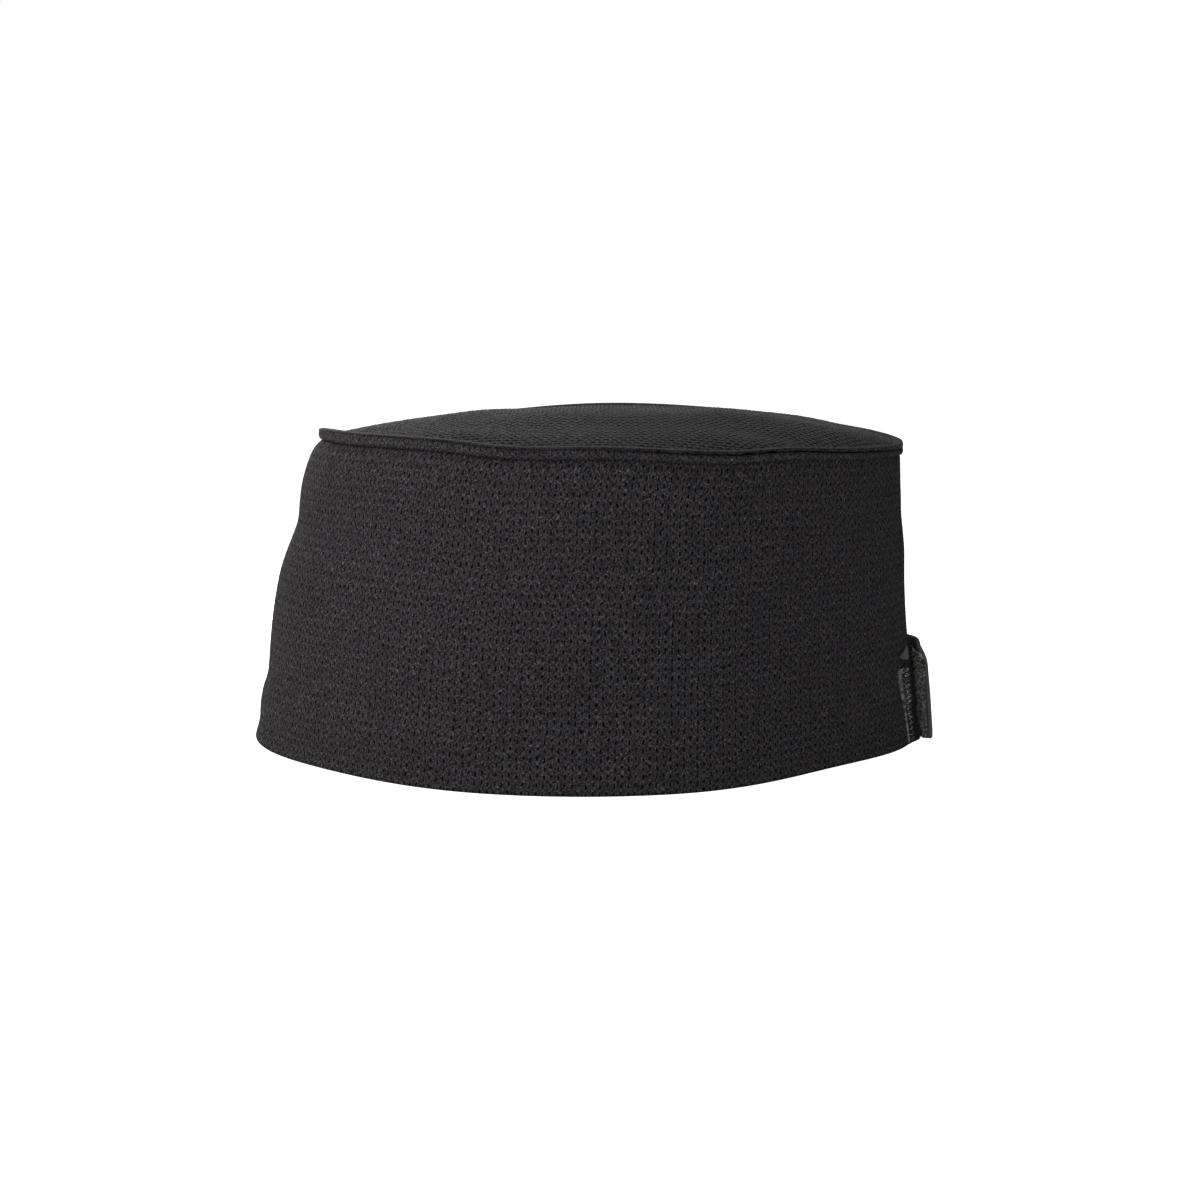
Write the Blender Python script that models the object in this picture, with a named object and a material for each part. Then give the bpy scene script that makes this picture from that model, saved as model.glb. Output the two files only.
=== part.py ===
import bisect
import math
from collections import namedtuple

import bmesh
import bpy
from mathutils import Matrix, Vector

# A soft pillbox cap of mesh knit that stands on its rim. The front is at -Y, the back at +Y,
# the wearer's left side at +X. Lengths are in metres.

# The side band and the crown, measured on the outside of the cloth
RIM_LENGTH = 0.2044
RIM_WIDTH = 0.1684
CROWN_LENGTH = 0.1752
CROWN_WIDTH = 0.140
CROWN_SET_BACK = 0.0081
SIDE_HEIGHT = 0.0925
CROWN_RISE = 0.0062
CLOTH = 0.0015
RIM_LIFT = 0.0009

# The turned hem inside the rim
HEM_HEIGHT = 0.0205
HEM_THICKNESS = 0.0028
HEM_ROUNDING = 0.0005

# The raised seam between band and crown, a roll of each cloth one over the other
SIDE_ROLL = 0.0021
CROWN_ROLL = 0.0014
ROLL_REACH = 0.0016
EDGE_VALLEY = 0.0007

# Softness of the cloth: how far the deepest fold of each piece moves it
WALL_FOLD = 0.0016
CROWN_FOLD = 0.0018

# The closure at the back
SLIT_HEIGHT = 0.034
SLIT_WIDTH = 0.0014
TAPE_BOTTOM = 0.0005
HOOK_HEIGHT = 0.0248
HOOK_NEAR_EDGE = 0.0185
HOOK_LEAN = 0.0030
HOOK_THICKNESS = 0.0011
LOOP_THICKNESS = 0.0010
LOOP_LENGTH = 0.0095
TAB_THICKNESS = 0.0014
TAB_HEIGHT = 0.0292
TAB_ROOT = 0.032
TAB_RAMP = 0.008
TAB_CORNER = 0.0048
TAB_CORNER_LENGTH = 0.018
CURL_START = 0.0026
CURL_INSIDE = 0.0016
CURL_FOOT_ANGLE = math.radians(86)
CURL_TOP_ANGLE = math.radians(66)

# Left between pieces that are sewn or pressed together
GAP = 0.0003

# How fine the meshes are: columns round the cap, rows up each tape, columns along the hook tape
# and along the strap's root, ramp, bridge over the slit and curl
COLUMNS = 88
TAPE_ROWS = 8
HOOK_COLUMNS = 7
ROOT_COLUMNS = 6
RAMP_COLUMNS = 6
BRIDGE_COLUMNS = 3
CURL_COLUMNS = 8

# Rings of the crown's upper face and of its underside, as shares of the way out from its middle
UPPER_RINGS = (0.14, 0.28, 0.42, 0.56, 0.69, 0.81, 0.91, 0.965)
UNDER_RINGS = (0.25, 0.48, 0.69, 0.87, 0.965)

# Two of the band's rings are never nearer than this share of its height
RING_SPACING = 0.03

# One row for each section of the band. height is a share of the seam's height; the others are
# shares of the way that the cloth leans in from the rim's outline to the crown's outline.
Section = namedtuple("Section", "height front back side")
WALL_SECTIONS = (
    Section(0.00, 0.000, 0.00, 0.00),
    Section(0.06, 0.068, 0.08, 0.02),
    Section(0.12, 0.090, 0.15, 0.04),
    Section(0.17, 0.131, 0.22, 0.07),
    Section(0.22, 0.197, 0.30, 0.12),
    Section(0.33, 0.242, 0.45, 0.18),
    Section(0.44, 0.298, 0.60, 0.26),
    Section(0.55, 0.385, 0.72, 0.35),
    Section(0.61, 0.462, 0.75, 0.41),
    Section(0.67, 0.560, 0.77, 0.47),
    Section(0.73, 0.650, 0.84, 0.53),
    Section(0.79, 0.679, 0.92, 0.60),
    Section(0.85, 0.713, 0.94, 0.68),
    Section(0.90, 0.768, 0.97, 0.76),
    Section(0.94, 0.828, 0.98, 0.83),
    Section(0.97, 0.893, 0.99, 0.90),
    Section(1.00, 1.000, 1.00, 1.00),
)

# The seam round the crown. angle is in degrees: 0 at +X, 90 at the back, 180 at -X, 270 at the
# front. height is a share of SIDE_HEIGHT, reach of ROLL_REACH and rise of both rolls' heights.
SeamPoint = namedtuple("SeamPoint", "angle height reach rise")
SEAM_LINE = (
    SeamPoint(0, 1.000, 1.0, 1.00),
    SeamPoint(22, 0.981, 1.0, 1.00),
    SeamPoint(35, 0.982, 1.0, 1.00),
    SeamPoint(55, 0.962, 0.9, 0.95),
    SeamPoint(90, 0.943, 0.5, 0.95),
    SeamPoint(120, 0.950, 0.9, 0.90),
    SeamPoint(145, 0.976, 1.0, 0.90),
    SeamPoint(180, 0.996, 1.0, 0.90),
    SeamPoint(210, 0.974, 1.0, 0.90),
    SeamPoint(235, 0.948, 0.9, 0.85),
    SeamPoint(252, 0.930, 0.7, 0.75),
    SeamPoint(270, 0.985, 0.6, 0.62),
    SeamPoint(300, 1.008, 0.9, 0.85),
    SeamPoint(325, 1.011, 1.0, 1.00),
    SeamPoint(342, 0.997, 1.0, 1.00),
)

# The two rolls in section, from below upward. reach is a share of the seam's reach there and
# rise a share of the roll's own height.
RollPoint = namedtuple("RollPoint", "reach rise")
SIDE_ROLL_SECTION = (
    RollPoint(0.65, 0.20),
    RollPoint(1.00, 0.55),
    RollPoint(0.85, 1.00),
)
CROWN_ROLL_SECTION = (
    RollPoint(0.75, 0.00),
    RollPoint(1.00, 0.40),
    RollPoint(0.70, 0.92),
    RollPoint(0.10, 1.00),
)

# The valley inside the crown's roll, as a share of the way out, and how sharply the crown's
# folds die away at its edge
VALLEY_SPREAD = 0.045
FOLD_FADE = 8

# Where the oval is flatter than an ellipse, on both sides alike. flattening is a share of the
# half width there, top is what is left of it at the crown, and lift is how far the rim stands
# off the surface there, as a share of RIM_LIFT and within LIFT_SPREAD degrees.
Flank = namedtuple("Flank", "angle spread flattening top lift")
FLANKS = (
    Flank(-50, 25, 0.036, 0.6, 0.5),
    Flank(49, 23, 0.058, 0.4, 1.0),
)
LIFT_SPREAD = 34

# Soft folds of the band. height and tall are shares of the seam's height, depth a share of
# WALL_FOLD and outward where positive; lean is how far, in degrees, the fold moves from its
# foot to its top.
WallFold = namedtuple("WallFold", "angle height wide tall lean depth")
WALL_FOLDS = (
    WallFold(19, 0.90, 8, 0.10, 60, 0.50),
    WallFold(34, 0.87, 8, 0.11, 50, -0.50),
    WallFold(50, 0.84, 8, 0.11, 40, -0.40),
    WallFold(64, 0.78, 8, 0.16, 10, -0.70),
    WallFold(78, 0.62, 9, 0.20, 0, 0.40),
    WallFold(322, 0.88, 8, 0.08, -90, -0.40),
    WallFold(310, 0.80, 9, 0.09, -90, 0.35),
    WallFold(345, 0.35, 30, 0.18, 0, 0.30),
    WallFold(120, 0.72, 10, 0.20, -20, -0.60),
    WallFold(150, 0.85, 9, 0.12, -40, 0.45),
    WallFold(196, 0.80, 10, 0.14, 30, -0.50),
    WallFold(228, 0.70, 12, 0.18, 30, 0.45),
)

# Soft folds of the crown. right is a share of half its width and back of half its length,
# wide and long are shares of half its width, turn is the fold's direction in degrees, and
# depth is a share of CROWN_FOLD, upward where positive.
CrownFold = namedtuple("CrownFold", "right back wide long turn depth")
CROWN_FOLDS = (
    CrownFold(0.48, 0.42, 0.13, 0.20, 60, -0.60),
    CrownFold(0.62, -0.10, 0.16, 0.60, 90, -0.45),
    CrownFold(-0.30, -0.35, 0.16, 0.55, 75, 0.45),
    CrownFold(-0.62, 0.28, 0.14, 0.45, 80, -0.70),
    CrownFold(0.10, 0.62, 0.16, 0.35, 20, -0.40),
)


def curve(rows, key, column, period=0):
    # A smooth curve through one column of a table, as a function of its key
    turns = (-period, 0, period) if period else (0,)
    places = [getattr(row, key) + turn for turn in turns for row in rows]
    values = [getattr(row, column) for turn in turns for row in rows]
    last = len(places) - 1
    slopes = []
    for i in range(len(places)):
        before, after = max(i - 1, 0), min(i + 1, last)
        slopes.append((values[after] - values[before]) / (places[after] - places[before]))

    def at(place):
        place = place % period if period else place
        low = min(max(bisect.bisect_right(places, place) - 1, 0), last - 1)
        step = places[low + 1] - places[low]
        t = min(max((place - places[low]) / step, 0.0), 1.0)
        leaving = values[low] * (1 + 2 * t) + step * slopes[low] * t
        arriving = values[low + 1] * (3 - 2 * t) - step * slopes[low + 1] * (1 - t)
        return leaving * (1 - t) ** 2 + arriving * t * t

    return at


front_lean = curve(WALL_SECTIONS, "height", "front")
back_lean = curve(WALL_SECTIONS, "height", "back")
side_lean = curve(WALL_SECTIONS, "height", "side")
seam_share = curve(SEAM_LINE, "angle", "height", 360)
reach_share = curve(SEAM_LINE, "angle", "reach", 360)
rise_share = curve(SEAM_LINE, "angle", "rise", 360)


def mix(a, b, share):
    return a + (b - a) * share


def ease(share):
    share = min(max(share, 0.0), 1.0)
    return share * share * (3 - 2 * share)


def hump(distance, width):
    return math.exp(-((distance / width) ** 2))


def turned(angle, other):
    # The angle between two directions, from -180 to 180 degrees
    return (angle - other + 180) % 360 - 180


def seam_height(angle):
    return SIDE_HEIGHT * seam_share(angle)


def side_roll(angle):
    return SIDE_ROLL * rise_share(angle)


def crown_roll(angle):
    return CROWN_ROLL * rise_share(angle)


def roll_reach(angle):
    return ROLL_REACH * reach_share(angle)


def mirrored(angle):
    # The same direction on the +X side, from -90 to 90 degrees
    return math.degrees(math.asin(math.sin(math.radians(angle))))


def flank_share(angle, share):
    # How much of the oval is left after its flanks are flattened
    taken = 0.0
    for flank in FLANKS:
        near = hump(mirrored(angle) - flank.angle, flank.spread)
        taken += flank.flattening * mix(1, flank.top, share) * near
    return 1 - taken


def rim_lift(angle):
    # How far the rim stands off the surface below it, at its flanks alone
    lifted = 0.0
    for flank in FLANKS:
        lifted += flank.lift * ease(1 - abs(mirrored(angle) - flank.angle) / LIFT_SPREAD)
    return RIM_LIFT * lifted


def share_at(angle, z):
    # The height z as a share of the way from rim to seam
    lift = rim_lift(angle)
    return (z - lift) / (seam_height(angle) - lift)


def wall_fold(angle, share):
    moved = 0.0
    for fold in WALL_FOLDS:
        side = turned(angle, fold.angle + fold.lean * (share - fold.height))
        moved += fold.depth * hump(side, fold.wide) * hump(share - fold.height, fold.tall)
    return WALL_FOLD * moved


def wall_point(angle, share, outward=0.0):
    # A point of the band's outer face. share is its height as a share of the seam's height.
    front = mix(-RIM_LENGTH / 2, CROWN_SET_BACK - CROWN_LENGTH / 2, front_lean(share))
    back = mix(RIM_LENGTH / 2, CROWN_SET_BACK + CROWN_LENGTH / 2, back_lean(share))
    half_width = mix(RIM_WIDTH, CROWN_WIDTH, side_lean(share)) / 2
    half_length = (back - front) / 2
    turn = math.radians(angle)
    flat = flank_share(angle, share)
    across, along = math.cos(turn), math.sin(turn)
    normal = Vector((across / half_width, along / half_length, 0)).normalized()
    point = Vector((half_width * across * flat, (front + back) / 2 + half_length * along * flat, 0))
    point += normal * (wall_fold(angle, share) + outward)
    point.z = mix(rim_lift(angle), seam_height(angle), share)
    return point


def wall_normal(angle, share):
    # Which way the band's outer face looks
    turn, rise = 0.5, 0.01
    low, high = max(share - rise, 0), min(share + rise, 1)
    sideways = wall_point(angle + turn, share) - wall_point(angle - turn, share)
    upward = wall_point(angle, high) - wall_point(angle, low)
    return sideways.cross(upward).normalized()


def inner_wall_point(angle, share, in_hem):
    # The inner face, which is further in and stands straight where the hem is turned up
    outward = wall_normal(angle, share)
    if in_hem:
        outward.z = 0
    return wall_point(angle, share) - outward.normalized() * (HEM_THICKNESS if in_hem else CLOTH)


def above_seam(angle, outward, up):
    return wall_point(angle, 1, outward) + Vector((0, 0, up))


def quad(at, ring, column):
    # The face between two rings and two columns
    return [at(ring, column), at(ring, column + 1), at(ring + 1, column + 1), at(ring + 1, column)]


def mesh_object(name, points, faces, look):
    bm = bmesh.new()
    verts = [bm.verts.new(point) for point in points]
    for face in faces:
        bm.faces.new([verts[i] for i in face])
    bmesh.ops.recalc_face_normals(bm, faces=bm.faces)
    mesh = bpy.data.meshes.new(name)
    bm.to_mesh(mesh)
    bm.free()
    mesh.shade_smooth()
    mesh.set_sharp_from_angle(angle=math.radians(40))
    obj = bpy.data.objects.new(name, mesh)
    bpy.context.collection.objects.link(obj)
    obj.data.materials.append(look)
    return obj


def material(name, colour, roughness):
    look = bpy.data.materials.new(name)
    look.use_nodes = True
    shader = look.node_tree.nodes["Principled BSDF"]
    shader.inputs["Base Color"].default_value = (*colour, 1)
    shader.inputs["Roughness"].default_value = roughness
    shader.inputs["Metallic"].default_value = 0.0
    return look


def band_rows():
    # Heights of the band's rings, with one at the top of the slit and two at the hem's edge
    slit = SLIT_HEIGHT / seam_height(90)
    hem = HEM_HEIGHT / SIDE_HEIGHT
    hem_step = (HEM_THICKNESS - CLOTH) / SIDE_HEIGHT
    rounding = HEM_ROUNDING / SIDE_HEIGHT
    kept = [row.height for row in WALL_SECTIONS if row.height > rounding]
    for edge in (slit, hem):
        kept = [share for share in kept if abs(share - edge) > RING_SPACING]
    rows = sorted(kept + [rounding, hem - hem_step, hem, slit])
    # The inside is smoother: above the slit it has every other ring
    above = [row for row in rows if row > slit]
    return rows, [row for row in rows if row <= slit] + above[1::2], slit, hem


def side_band(look):
    # The slit's two edges are the first and the last column
    opening = math.degrees(SLIT_WIDTH / 2 / (RIM_WIDTH / 2))
    angles = [90 + opening + (360 - 2 * opening) * i / (COLUMNS - 1) for i in range(COLUMNS)]
    rows, inner_rows, slit, hem = band_rows()
    rings = [[wall_point(angle, 0, -HEM_ROUNDING) for angle in angles]]
    rings += [[wall_point(angle, share) for angle in angles] for share in rows]
    slit_row = rows.index(slit) + 1
    # The roll that stands out over the groove at the top
    for profile in SIDE_ROLL_SECTION:
        reaches = [profile.reach * roll_reach(angle) for angle in angles]
        rises = [profile.rise * side_roll(angle) for angle in angles]
        rings.append([above_seam(*place) for place in zip(angles, reaches, rises)])
    rings.append([above_seam(angle, -CLOTH, side_roll(angle)) for angle in angles])
    # Down the inside again, thicker over the turned hem
    inside_start = len(rings)
    for share in reversed(inner_rows):
        rings.append([inner_wall_point(angle, share, share < hem) for angle in angles])
    rings.append([wall_point(angle, 0, HEM_ROUNDING - HEM_THICKNESS) for angle in angles])
    count = len(rings)
    points = [point for ring in rings for point in ring]

    def at(ring, column):
        return (ring % count) * COLUMNS + column % COLUMNS

    last = COLUMNS - 1
    inner_slit = inside_start + len(inner_rows) - slit_row
    faces = [quad(at, ring, column) for ring in range(count) for column in range(last)]
    faces += [quad(at, ring, last) for ring in range(slit_row, inner_slit)]
    # The cloth's thickness along the slit's edges and over its top
    for column in (0, last):
        for outer in range(slit_row):
            inner = count - 1 - outer
            square = ((outer, column), (outer + 1, column), (inner - 1, column), (inner, column))
            faces.append([at(*corner) for corner in square])
    top = ((slit_row, 0), (slit_row, last), (inner_slit, last), (inner_slit, 0))
    faces.append([at(*corner) for corner in top])
    return mesh_object("side_band", points, faces, look)


def crown_fold(point):
    moved = 0.0
    half_width, half_length = CROWN_WIDTH / 2, CROWN_LENGTH / 2
    for fold in CROWN_FOLDS:
        turn = math.radians(fold.turn)
        right = point.x - fold.right * half_width
        back = point.y - CROWN_SET_BACK - fold.back * half_length
        along = right * math.cos(turn) + back * math.sin(turn)
        aside = back * math.cos(turn) - right * math.sin(turn)
        moved += fold.depth * hump(along, fold.long * half_width) * hump(aside, fold.wide * half_width)
    return CROWN_FOLD * moved


def crown_point(angle, share):
    # A point of the crown's upper face. share is 0 at its middle and 1 at its edge.
    middle = Vector((0, CROWN_SET_BACK, 0))
    edge = wall_point(angle, 1)
    point = middle.lerp(Vector((edge.x, edge.y, 0)), share)
    top = SIDE_HEIGHT + CROWN_RISE
    lip = edge.z + side_roll(angle) + GAP + crown_roll(angle)
    valley = EDGE_VALLEY * hump(1 - share, VALLEY_SPREAD)
    point.z = mix(top, lip, share * share) - valley + crown_fold(point) * (1 - share ** FOLD_FADE)
    return point


def crown(look):
    angles = [90 + 360 * i / COLUMNS for i in range(COLUMNS)]
    feet = [side_roll(angle) + GAP for angle in angles]
    drop = Vector((0, 0, CLOTH))
    rings = [[crown_point(angle, share) - drop for angle in angles] for share in UNDER_RINGS]
    # Under the roll, round it and on to the upper face
    rings.append([above_seam(angle, -CLOTH, foot) for angle, foot in zip(angles, feet)])
    for profile in CROWN_ROLL_SECTION:
        reaches = [profile.reach * roll_reach(angle) for angle in angles]
        rises = [foot + profile.rise * crown_roll(angle) for angle, foot in zip(angles, feet)]
        rings.append([above_seam(*place) for place in zip(angles, reaches, rises)])
    rings += [[crown_point(angle, share) for angle in angles] for share in reversed(UPPER_RINGS)]
    points = [point for ring in rings for point in ring]
    under_pole, upper_pole = len(points), len(points) + 1
    points += [crown_point(0, 0) - drop, crown_point(0, 0)]

    def at(ring, column):
        return ring * COLUMNS + column % COLUMNS

    last = len(rings) - 1
    faces = [quad(at, ring, column) for ring in range(last) for column in range(COLUMNS)]
    for column in range(COLUMNS):
        faces.append([under_pole, at(0, column + 1), at(0, column)])
        faces.append([at(last, column), at(last, column + 1), upper_pole])
    return mesh_object("crown", points, faces, look)


def back_angle(x, z):
    # The angle at which the band's back has this x at this height, found by halving a range
    low, high = 30.0, 150.0
    while high - low > 1e-6:
        angle = (low + high) / 2
        if wall_point(angle, share_at(angle, z)).x > x:
            low = angle
        else:
            high = angle
    return (low + high) / 2


def off_the_back(x, z, outward):
    # A point this far out from the band's back, and the two directions there
    angle = back_angle(x, z)
    share = share_at(angle, z)
    normal = wall_normal(angle, share)
    normal = Vector((normal.x, normal.y, 0)).normalized()
    along = Vector((normal.y, -normal.x, 0))
    return wall_point(angle, share) + normal * outward, along, normal


def slab(name, near_face, far_face, look):
    # A closed sheet between two grids of points, each a list of columns
    columns, rows = len(near_face), len(near_face[0])
    points = [point for face in (near_face, far_face) for column in face for point in column]

    def at(side, column, row):
        return (side * columns + column) * rows + row

    faces = []
    for column in range(columns - 1):
        for row in range(rows - 1):
            for side in (0, 1):
                square = [(column, row), (column + 1, row), (column + 1, row + 1), (column, row + 1)]
                faces.append([at(side, *corner) for corner in (square if side else square[::-1])])
    edge = [(column, 0) for column in range(columns)]
    edge += [(columns - 1, row) for row in range(1, rows)]
    edge += [(column, rows - 1) for column in range(columns - 2, -1, -1)]
    edge += [(0, row) for row in range(rows - 2, 0, -1)]
    for here, there in zip(edge, edge[1:] + edge[:1]):
        faces.append([at(0, *here), at(0, *there), at(1, *there), at(1, *here)])
    return mesh_object(name, points, faces, look)


def evenly(low, high, count):
    return [mix(low, high, i / (count - 1)) for i in range(count)]


def hook_tape(look):
    # Its forward edge leans out a little towards the top
    near_face, far_face = [], []
    rows = evenly(0, 1, TAPE_ROWS)
    heights = [TAPE_BOTTOM + HOOK_HEIGHT * row for row in rows]
    for share in evenly(0, 1, HOOK_COLUMNS):
        ends = [mix(SLIT_WIDTH, HOOK_NEAR_EDGE + HOOK_LEAN * row, share) for row in rows]
        near_face.append([off_the_back(x, z, GAP)[0] for x, z in zip(ends, heights)])
        far_face.append([off_the_back(x, z, GAP + HOOK_THICKNESS)[0] for x, z in zip(ends, heights)])
    return slab("hook_tape", near_face, far_face, look)


def curl_radius():
    return LOOP_THICKNESS + GAP + TAB_THICKNESS + CURL_INSIDE


def strap_tip():
    return CURL_START + CURL_FOOT_ANGLE * curl_radius()


def strap_point(travel, z, depth):
    # A point of the closing strap. travel is x along the back as far as CURL_START, and beyond
    # it the length along the curl. depth is measured outward from the pile's face.
    pile_lift = GAP + HOOK_THICKNESS + GAP
    strap_depth = LOOP_THICKNESS + GAP
    if travel <= CURL_START:
        down = ease((-travel - SLIT_WIDTH) / TAB_RAMP)
        lift = mix(pile_lift, GAP - strap_depth, down)
        return off_the_back(travel, z, lift + depth)[0]
    # The free end curls outward, and more at its foot than at its top
    full_turn = mix(CURL_FOOT_ANGLE, CURL_TOP_ANGLE, (z - TAPE_BOTTOM) / TAB_HEIGHT)
    turn = full_turn * (travel - CURL_START) / (strap_tip() - CURL_START)
    start, along, normal = off_the_back(CURL_START, z, pile_lift)
    centre = start + normal * curl_radius()
    return centre + (along * math.sin(turn) - normal * math.cos(turn)) * (curl_radius() - depth)


def strap_grid(travels, depth):
    # The strap's upper corner is rounded towards its tip
    grid = []
    for travel in travels:
        near_tip = min(max(1 - (strap_tip() - travel) / TAB_CORNER_LENGTH, 0), 1)
        top = TAPE_BOTTOM + TAB_HEIGHT - TAB_CORNER * (1 - math.sqrt(1 - near_tip ** 2))
        grid.append([strap_point(travel, z, depth) for z in evenly(TAPE_BOTTOM, top, TAPE_ROWS)])
    return grid


def closure_tab(look):
    inner = LOOP_THICKNESS + GAP
    ramp_foot = -SLIT_WIDTH - TAB_RAMP
    travels = evenly(-TAB_ROOT, ramp_foot, ROOT_COLUMNS)[:-1]
    travels += evenly(ramp_foot, -SLIT_WIDTH, RAMP_COLUMNS)[:-1]
    travels += evenly(-SLIT_WIDTH, CURL_START, BRIDGE_COLUMNS)[:-1]
    travels += evenly(CURL_START, strap_tip(), CURL_COLUMNS)
    return slab("closure_tab", strap_grid(travels, inner), strap_grid(travels, inner + TAB_THICKNESS), look)


def loop_tape(look):
    start = strap_tip() - LOOP_LENGTH
    travels = evenly(start, CURL_START, BRIDGE_COLUMNS)[:-1]
    travels += evenly(CURL_START, strap_tip(), CURL_COLUMNS)
    return slab("loop_tape", strap_grid(travels, 0), strap_grid(travels, LOOP_THICKNESS), look)


def centre_over_origin(parts):
    # The origin is the middle of the whole cap's box, at the level of the rim
    corners = [vert.co for part in parts for vert in part.data.vertices]
    middle = [(min(c[i] for c in corners) + max(c[i] for c in corners)) / 2 for i in (0, 1)]
    for part in parts:
        part.data.transform(Matrix.Translation((-middle[0], -middle[1], 0)))


def build():
    for obj in list(bpy.data.objects):
        bpy.data.objects.remove(obj, do_unlink=True)
    knit = material("black_mesh_knit", (0.032, 0.031, 0.033), 0.88)
    hooks = material("black_hook_tape", (0.015, 0.015, 0.016), 0.38)
    pile = material("black_loop_pile", (0.038, 0.038, 0.040), 0.95)
    facing = material("black_tab_cloth", (0.028, 0.027, 0.029), 0.85)
    parts = [side_band(knit), crown(knit), hook_tape(hooks), closure_tab(facing), loop_tape(pile)]
    centre_over_origin(parts)


build()
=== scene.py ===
import math

import bmesh
import bpy
import numpy as np
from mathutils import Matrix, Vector


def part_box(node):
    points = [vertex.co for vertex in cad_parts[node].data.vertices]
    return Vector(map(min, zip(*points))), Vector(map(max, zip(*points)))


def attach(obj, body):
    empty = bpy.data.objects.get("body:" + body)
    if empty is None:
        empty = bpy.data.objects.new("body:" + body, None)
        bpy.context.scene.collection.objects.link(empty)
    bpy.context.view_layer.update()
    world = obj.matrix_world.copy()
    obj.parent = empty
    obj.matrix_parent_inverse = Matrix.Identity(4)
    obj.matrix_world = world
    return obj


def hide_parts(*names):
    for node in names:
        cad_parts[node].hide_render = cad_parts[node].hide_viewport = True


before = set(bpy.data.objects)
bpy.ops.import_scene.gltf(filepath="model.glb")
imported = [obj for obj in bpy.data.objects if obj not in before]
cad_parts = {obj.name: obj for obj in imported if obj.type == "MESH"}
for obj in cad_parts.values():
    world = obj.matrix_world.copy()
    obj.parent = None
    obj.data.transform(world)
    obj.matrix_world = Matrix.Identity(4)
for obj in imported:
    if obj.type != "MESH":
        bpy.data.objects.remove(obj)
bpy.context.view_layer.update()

# A soft, low pillbox cap of black mesh knit, standing on its rim. +Y is the back, +X the wearer's left.
bandLow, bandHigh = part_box("side_band")
crownLow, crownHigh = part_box("crown")
hookLow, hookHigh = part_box("hook_tape")
tabLow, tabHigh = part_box("closure_tab")


# The form of the cap: the sections, seam line and folds of its solids, with a few nudged to suit the cloth
cut = {
    "cloth": 0.0015,
    "hemHeight": 0.0205,
    "hemThickness": 0.0028,
    "hemRound": 0.0009,        # how round the fold at the rim is
    "rimLift": 0.0009,         # how far the rim stands off the table at its flanks
    "liftSpread": 34,          # and over how many degrees
    "sideRoll": 0.0021,        # height of the lower roll of the seam
    "crownRoll": 0.0014,       # and of the upper one
    "rollReach": 0.0016,
    "seamGap": 0.0003,
    "crownRise": 0.0062,
    "wallFold": 0.0016,        # depth of the deepest fold in the wall
    "crownFold": 0.0018,
}

# height up the wall, then how far the front, back and sides have leaned in, all as shares
wallSections = (
    (0.00, 0.000, 0.00, 0.00),
    (0.06, 0.068, 0.08, 0.02),
    (0.12, 0.090, 0.15, 0.04),
    (0.17, 0.131, 0.22, 0.07),
    (0.22, 0.197, 0.30, 0.12),
    (0.33, 0.242, 0.45, 0.18),
    (0.44, 0.298, 0.60, 0.26),
    (0.55, 0.385, 0.72, 0.35),
    (0.61, 0.462, 0.75, 0.41),
    (0.67, 0.560, 0.77, 0.47),
    (0.73, 0.650, 0.84, 0.53),
    (0.79, 0.679, 0.92, 0.60),
    (0.85, 0.713, 0.94, 0.68),
    (0.90, 0.768, 0.97, 0.76),
    (0.94, 0.828, 0.98, 0.83),
    (0.97, 0.893, 0.99, 0.90),
    (1.00, 1.000, 1.00, 1.00),
)

# degrees round from the wearer's left, then shares of the seam's height and reach
seamLine = (
    (0, 1.000, 1.0),
    (22, 0.981, 1.0),
    (35, 0.982, 1.0),
    (55, 0.962, 0.9),
    (90, 0.943, 0.5),
    (120, 0.955, 0.9),
    (145, 0.976, 1.0),
    (180, 0.996, 1.0),
    (210, 0.971, 1.0),
    (235, 0.948, 0.9),
    (252, 0.930, 0.7),
    (270, 0.985, 0.6),
    (300, 1.003, 0.9),
    (325, 1.010, 1.0),
    (342, 0.997, 1.0),
)

# angle, spread, flattening, what is left of it at the top, and lift of the rim
flanks = ((-50, 25, 0.036, 0.6, 0.5), (49, 23, 0.058, 0.4, 1.0))

# angle, height, width in degrees, length up the wall, lean in degrees, depth; all but the angles are shares
wallFolds = (
    (19, 0.90, 8, 0.10, 60, 0.50),
    (34, 0.87, 8, 0.11, 50, -0.50),
    (50, 0.84, 8, 0.11, 40, -0.40),
    (64, 0.78, 8, 0.16, 10, -0.70),
    (78, 0.62, 9, 0.20, 0, 0.40),
    (322, 0.88, 8, 0.08, -90, -0.40),
    (310, 0.80, 9, 0.09, -90, 0.35),
    (345, 0.35, 30, 0.18, 0, 0.30),
    (120, 0.72, 10, 0.20, -20, -0.60),
    (150, 0.85, 9, 0.12, -40, 0.45),
    (196, 0.80, 10, 0.14, 30, -0.50),
    (228, 0.70, 12, 0.18, 30, 0.45),
)

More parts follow.
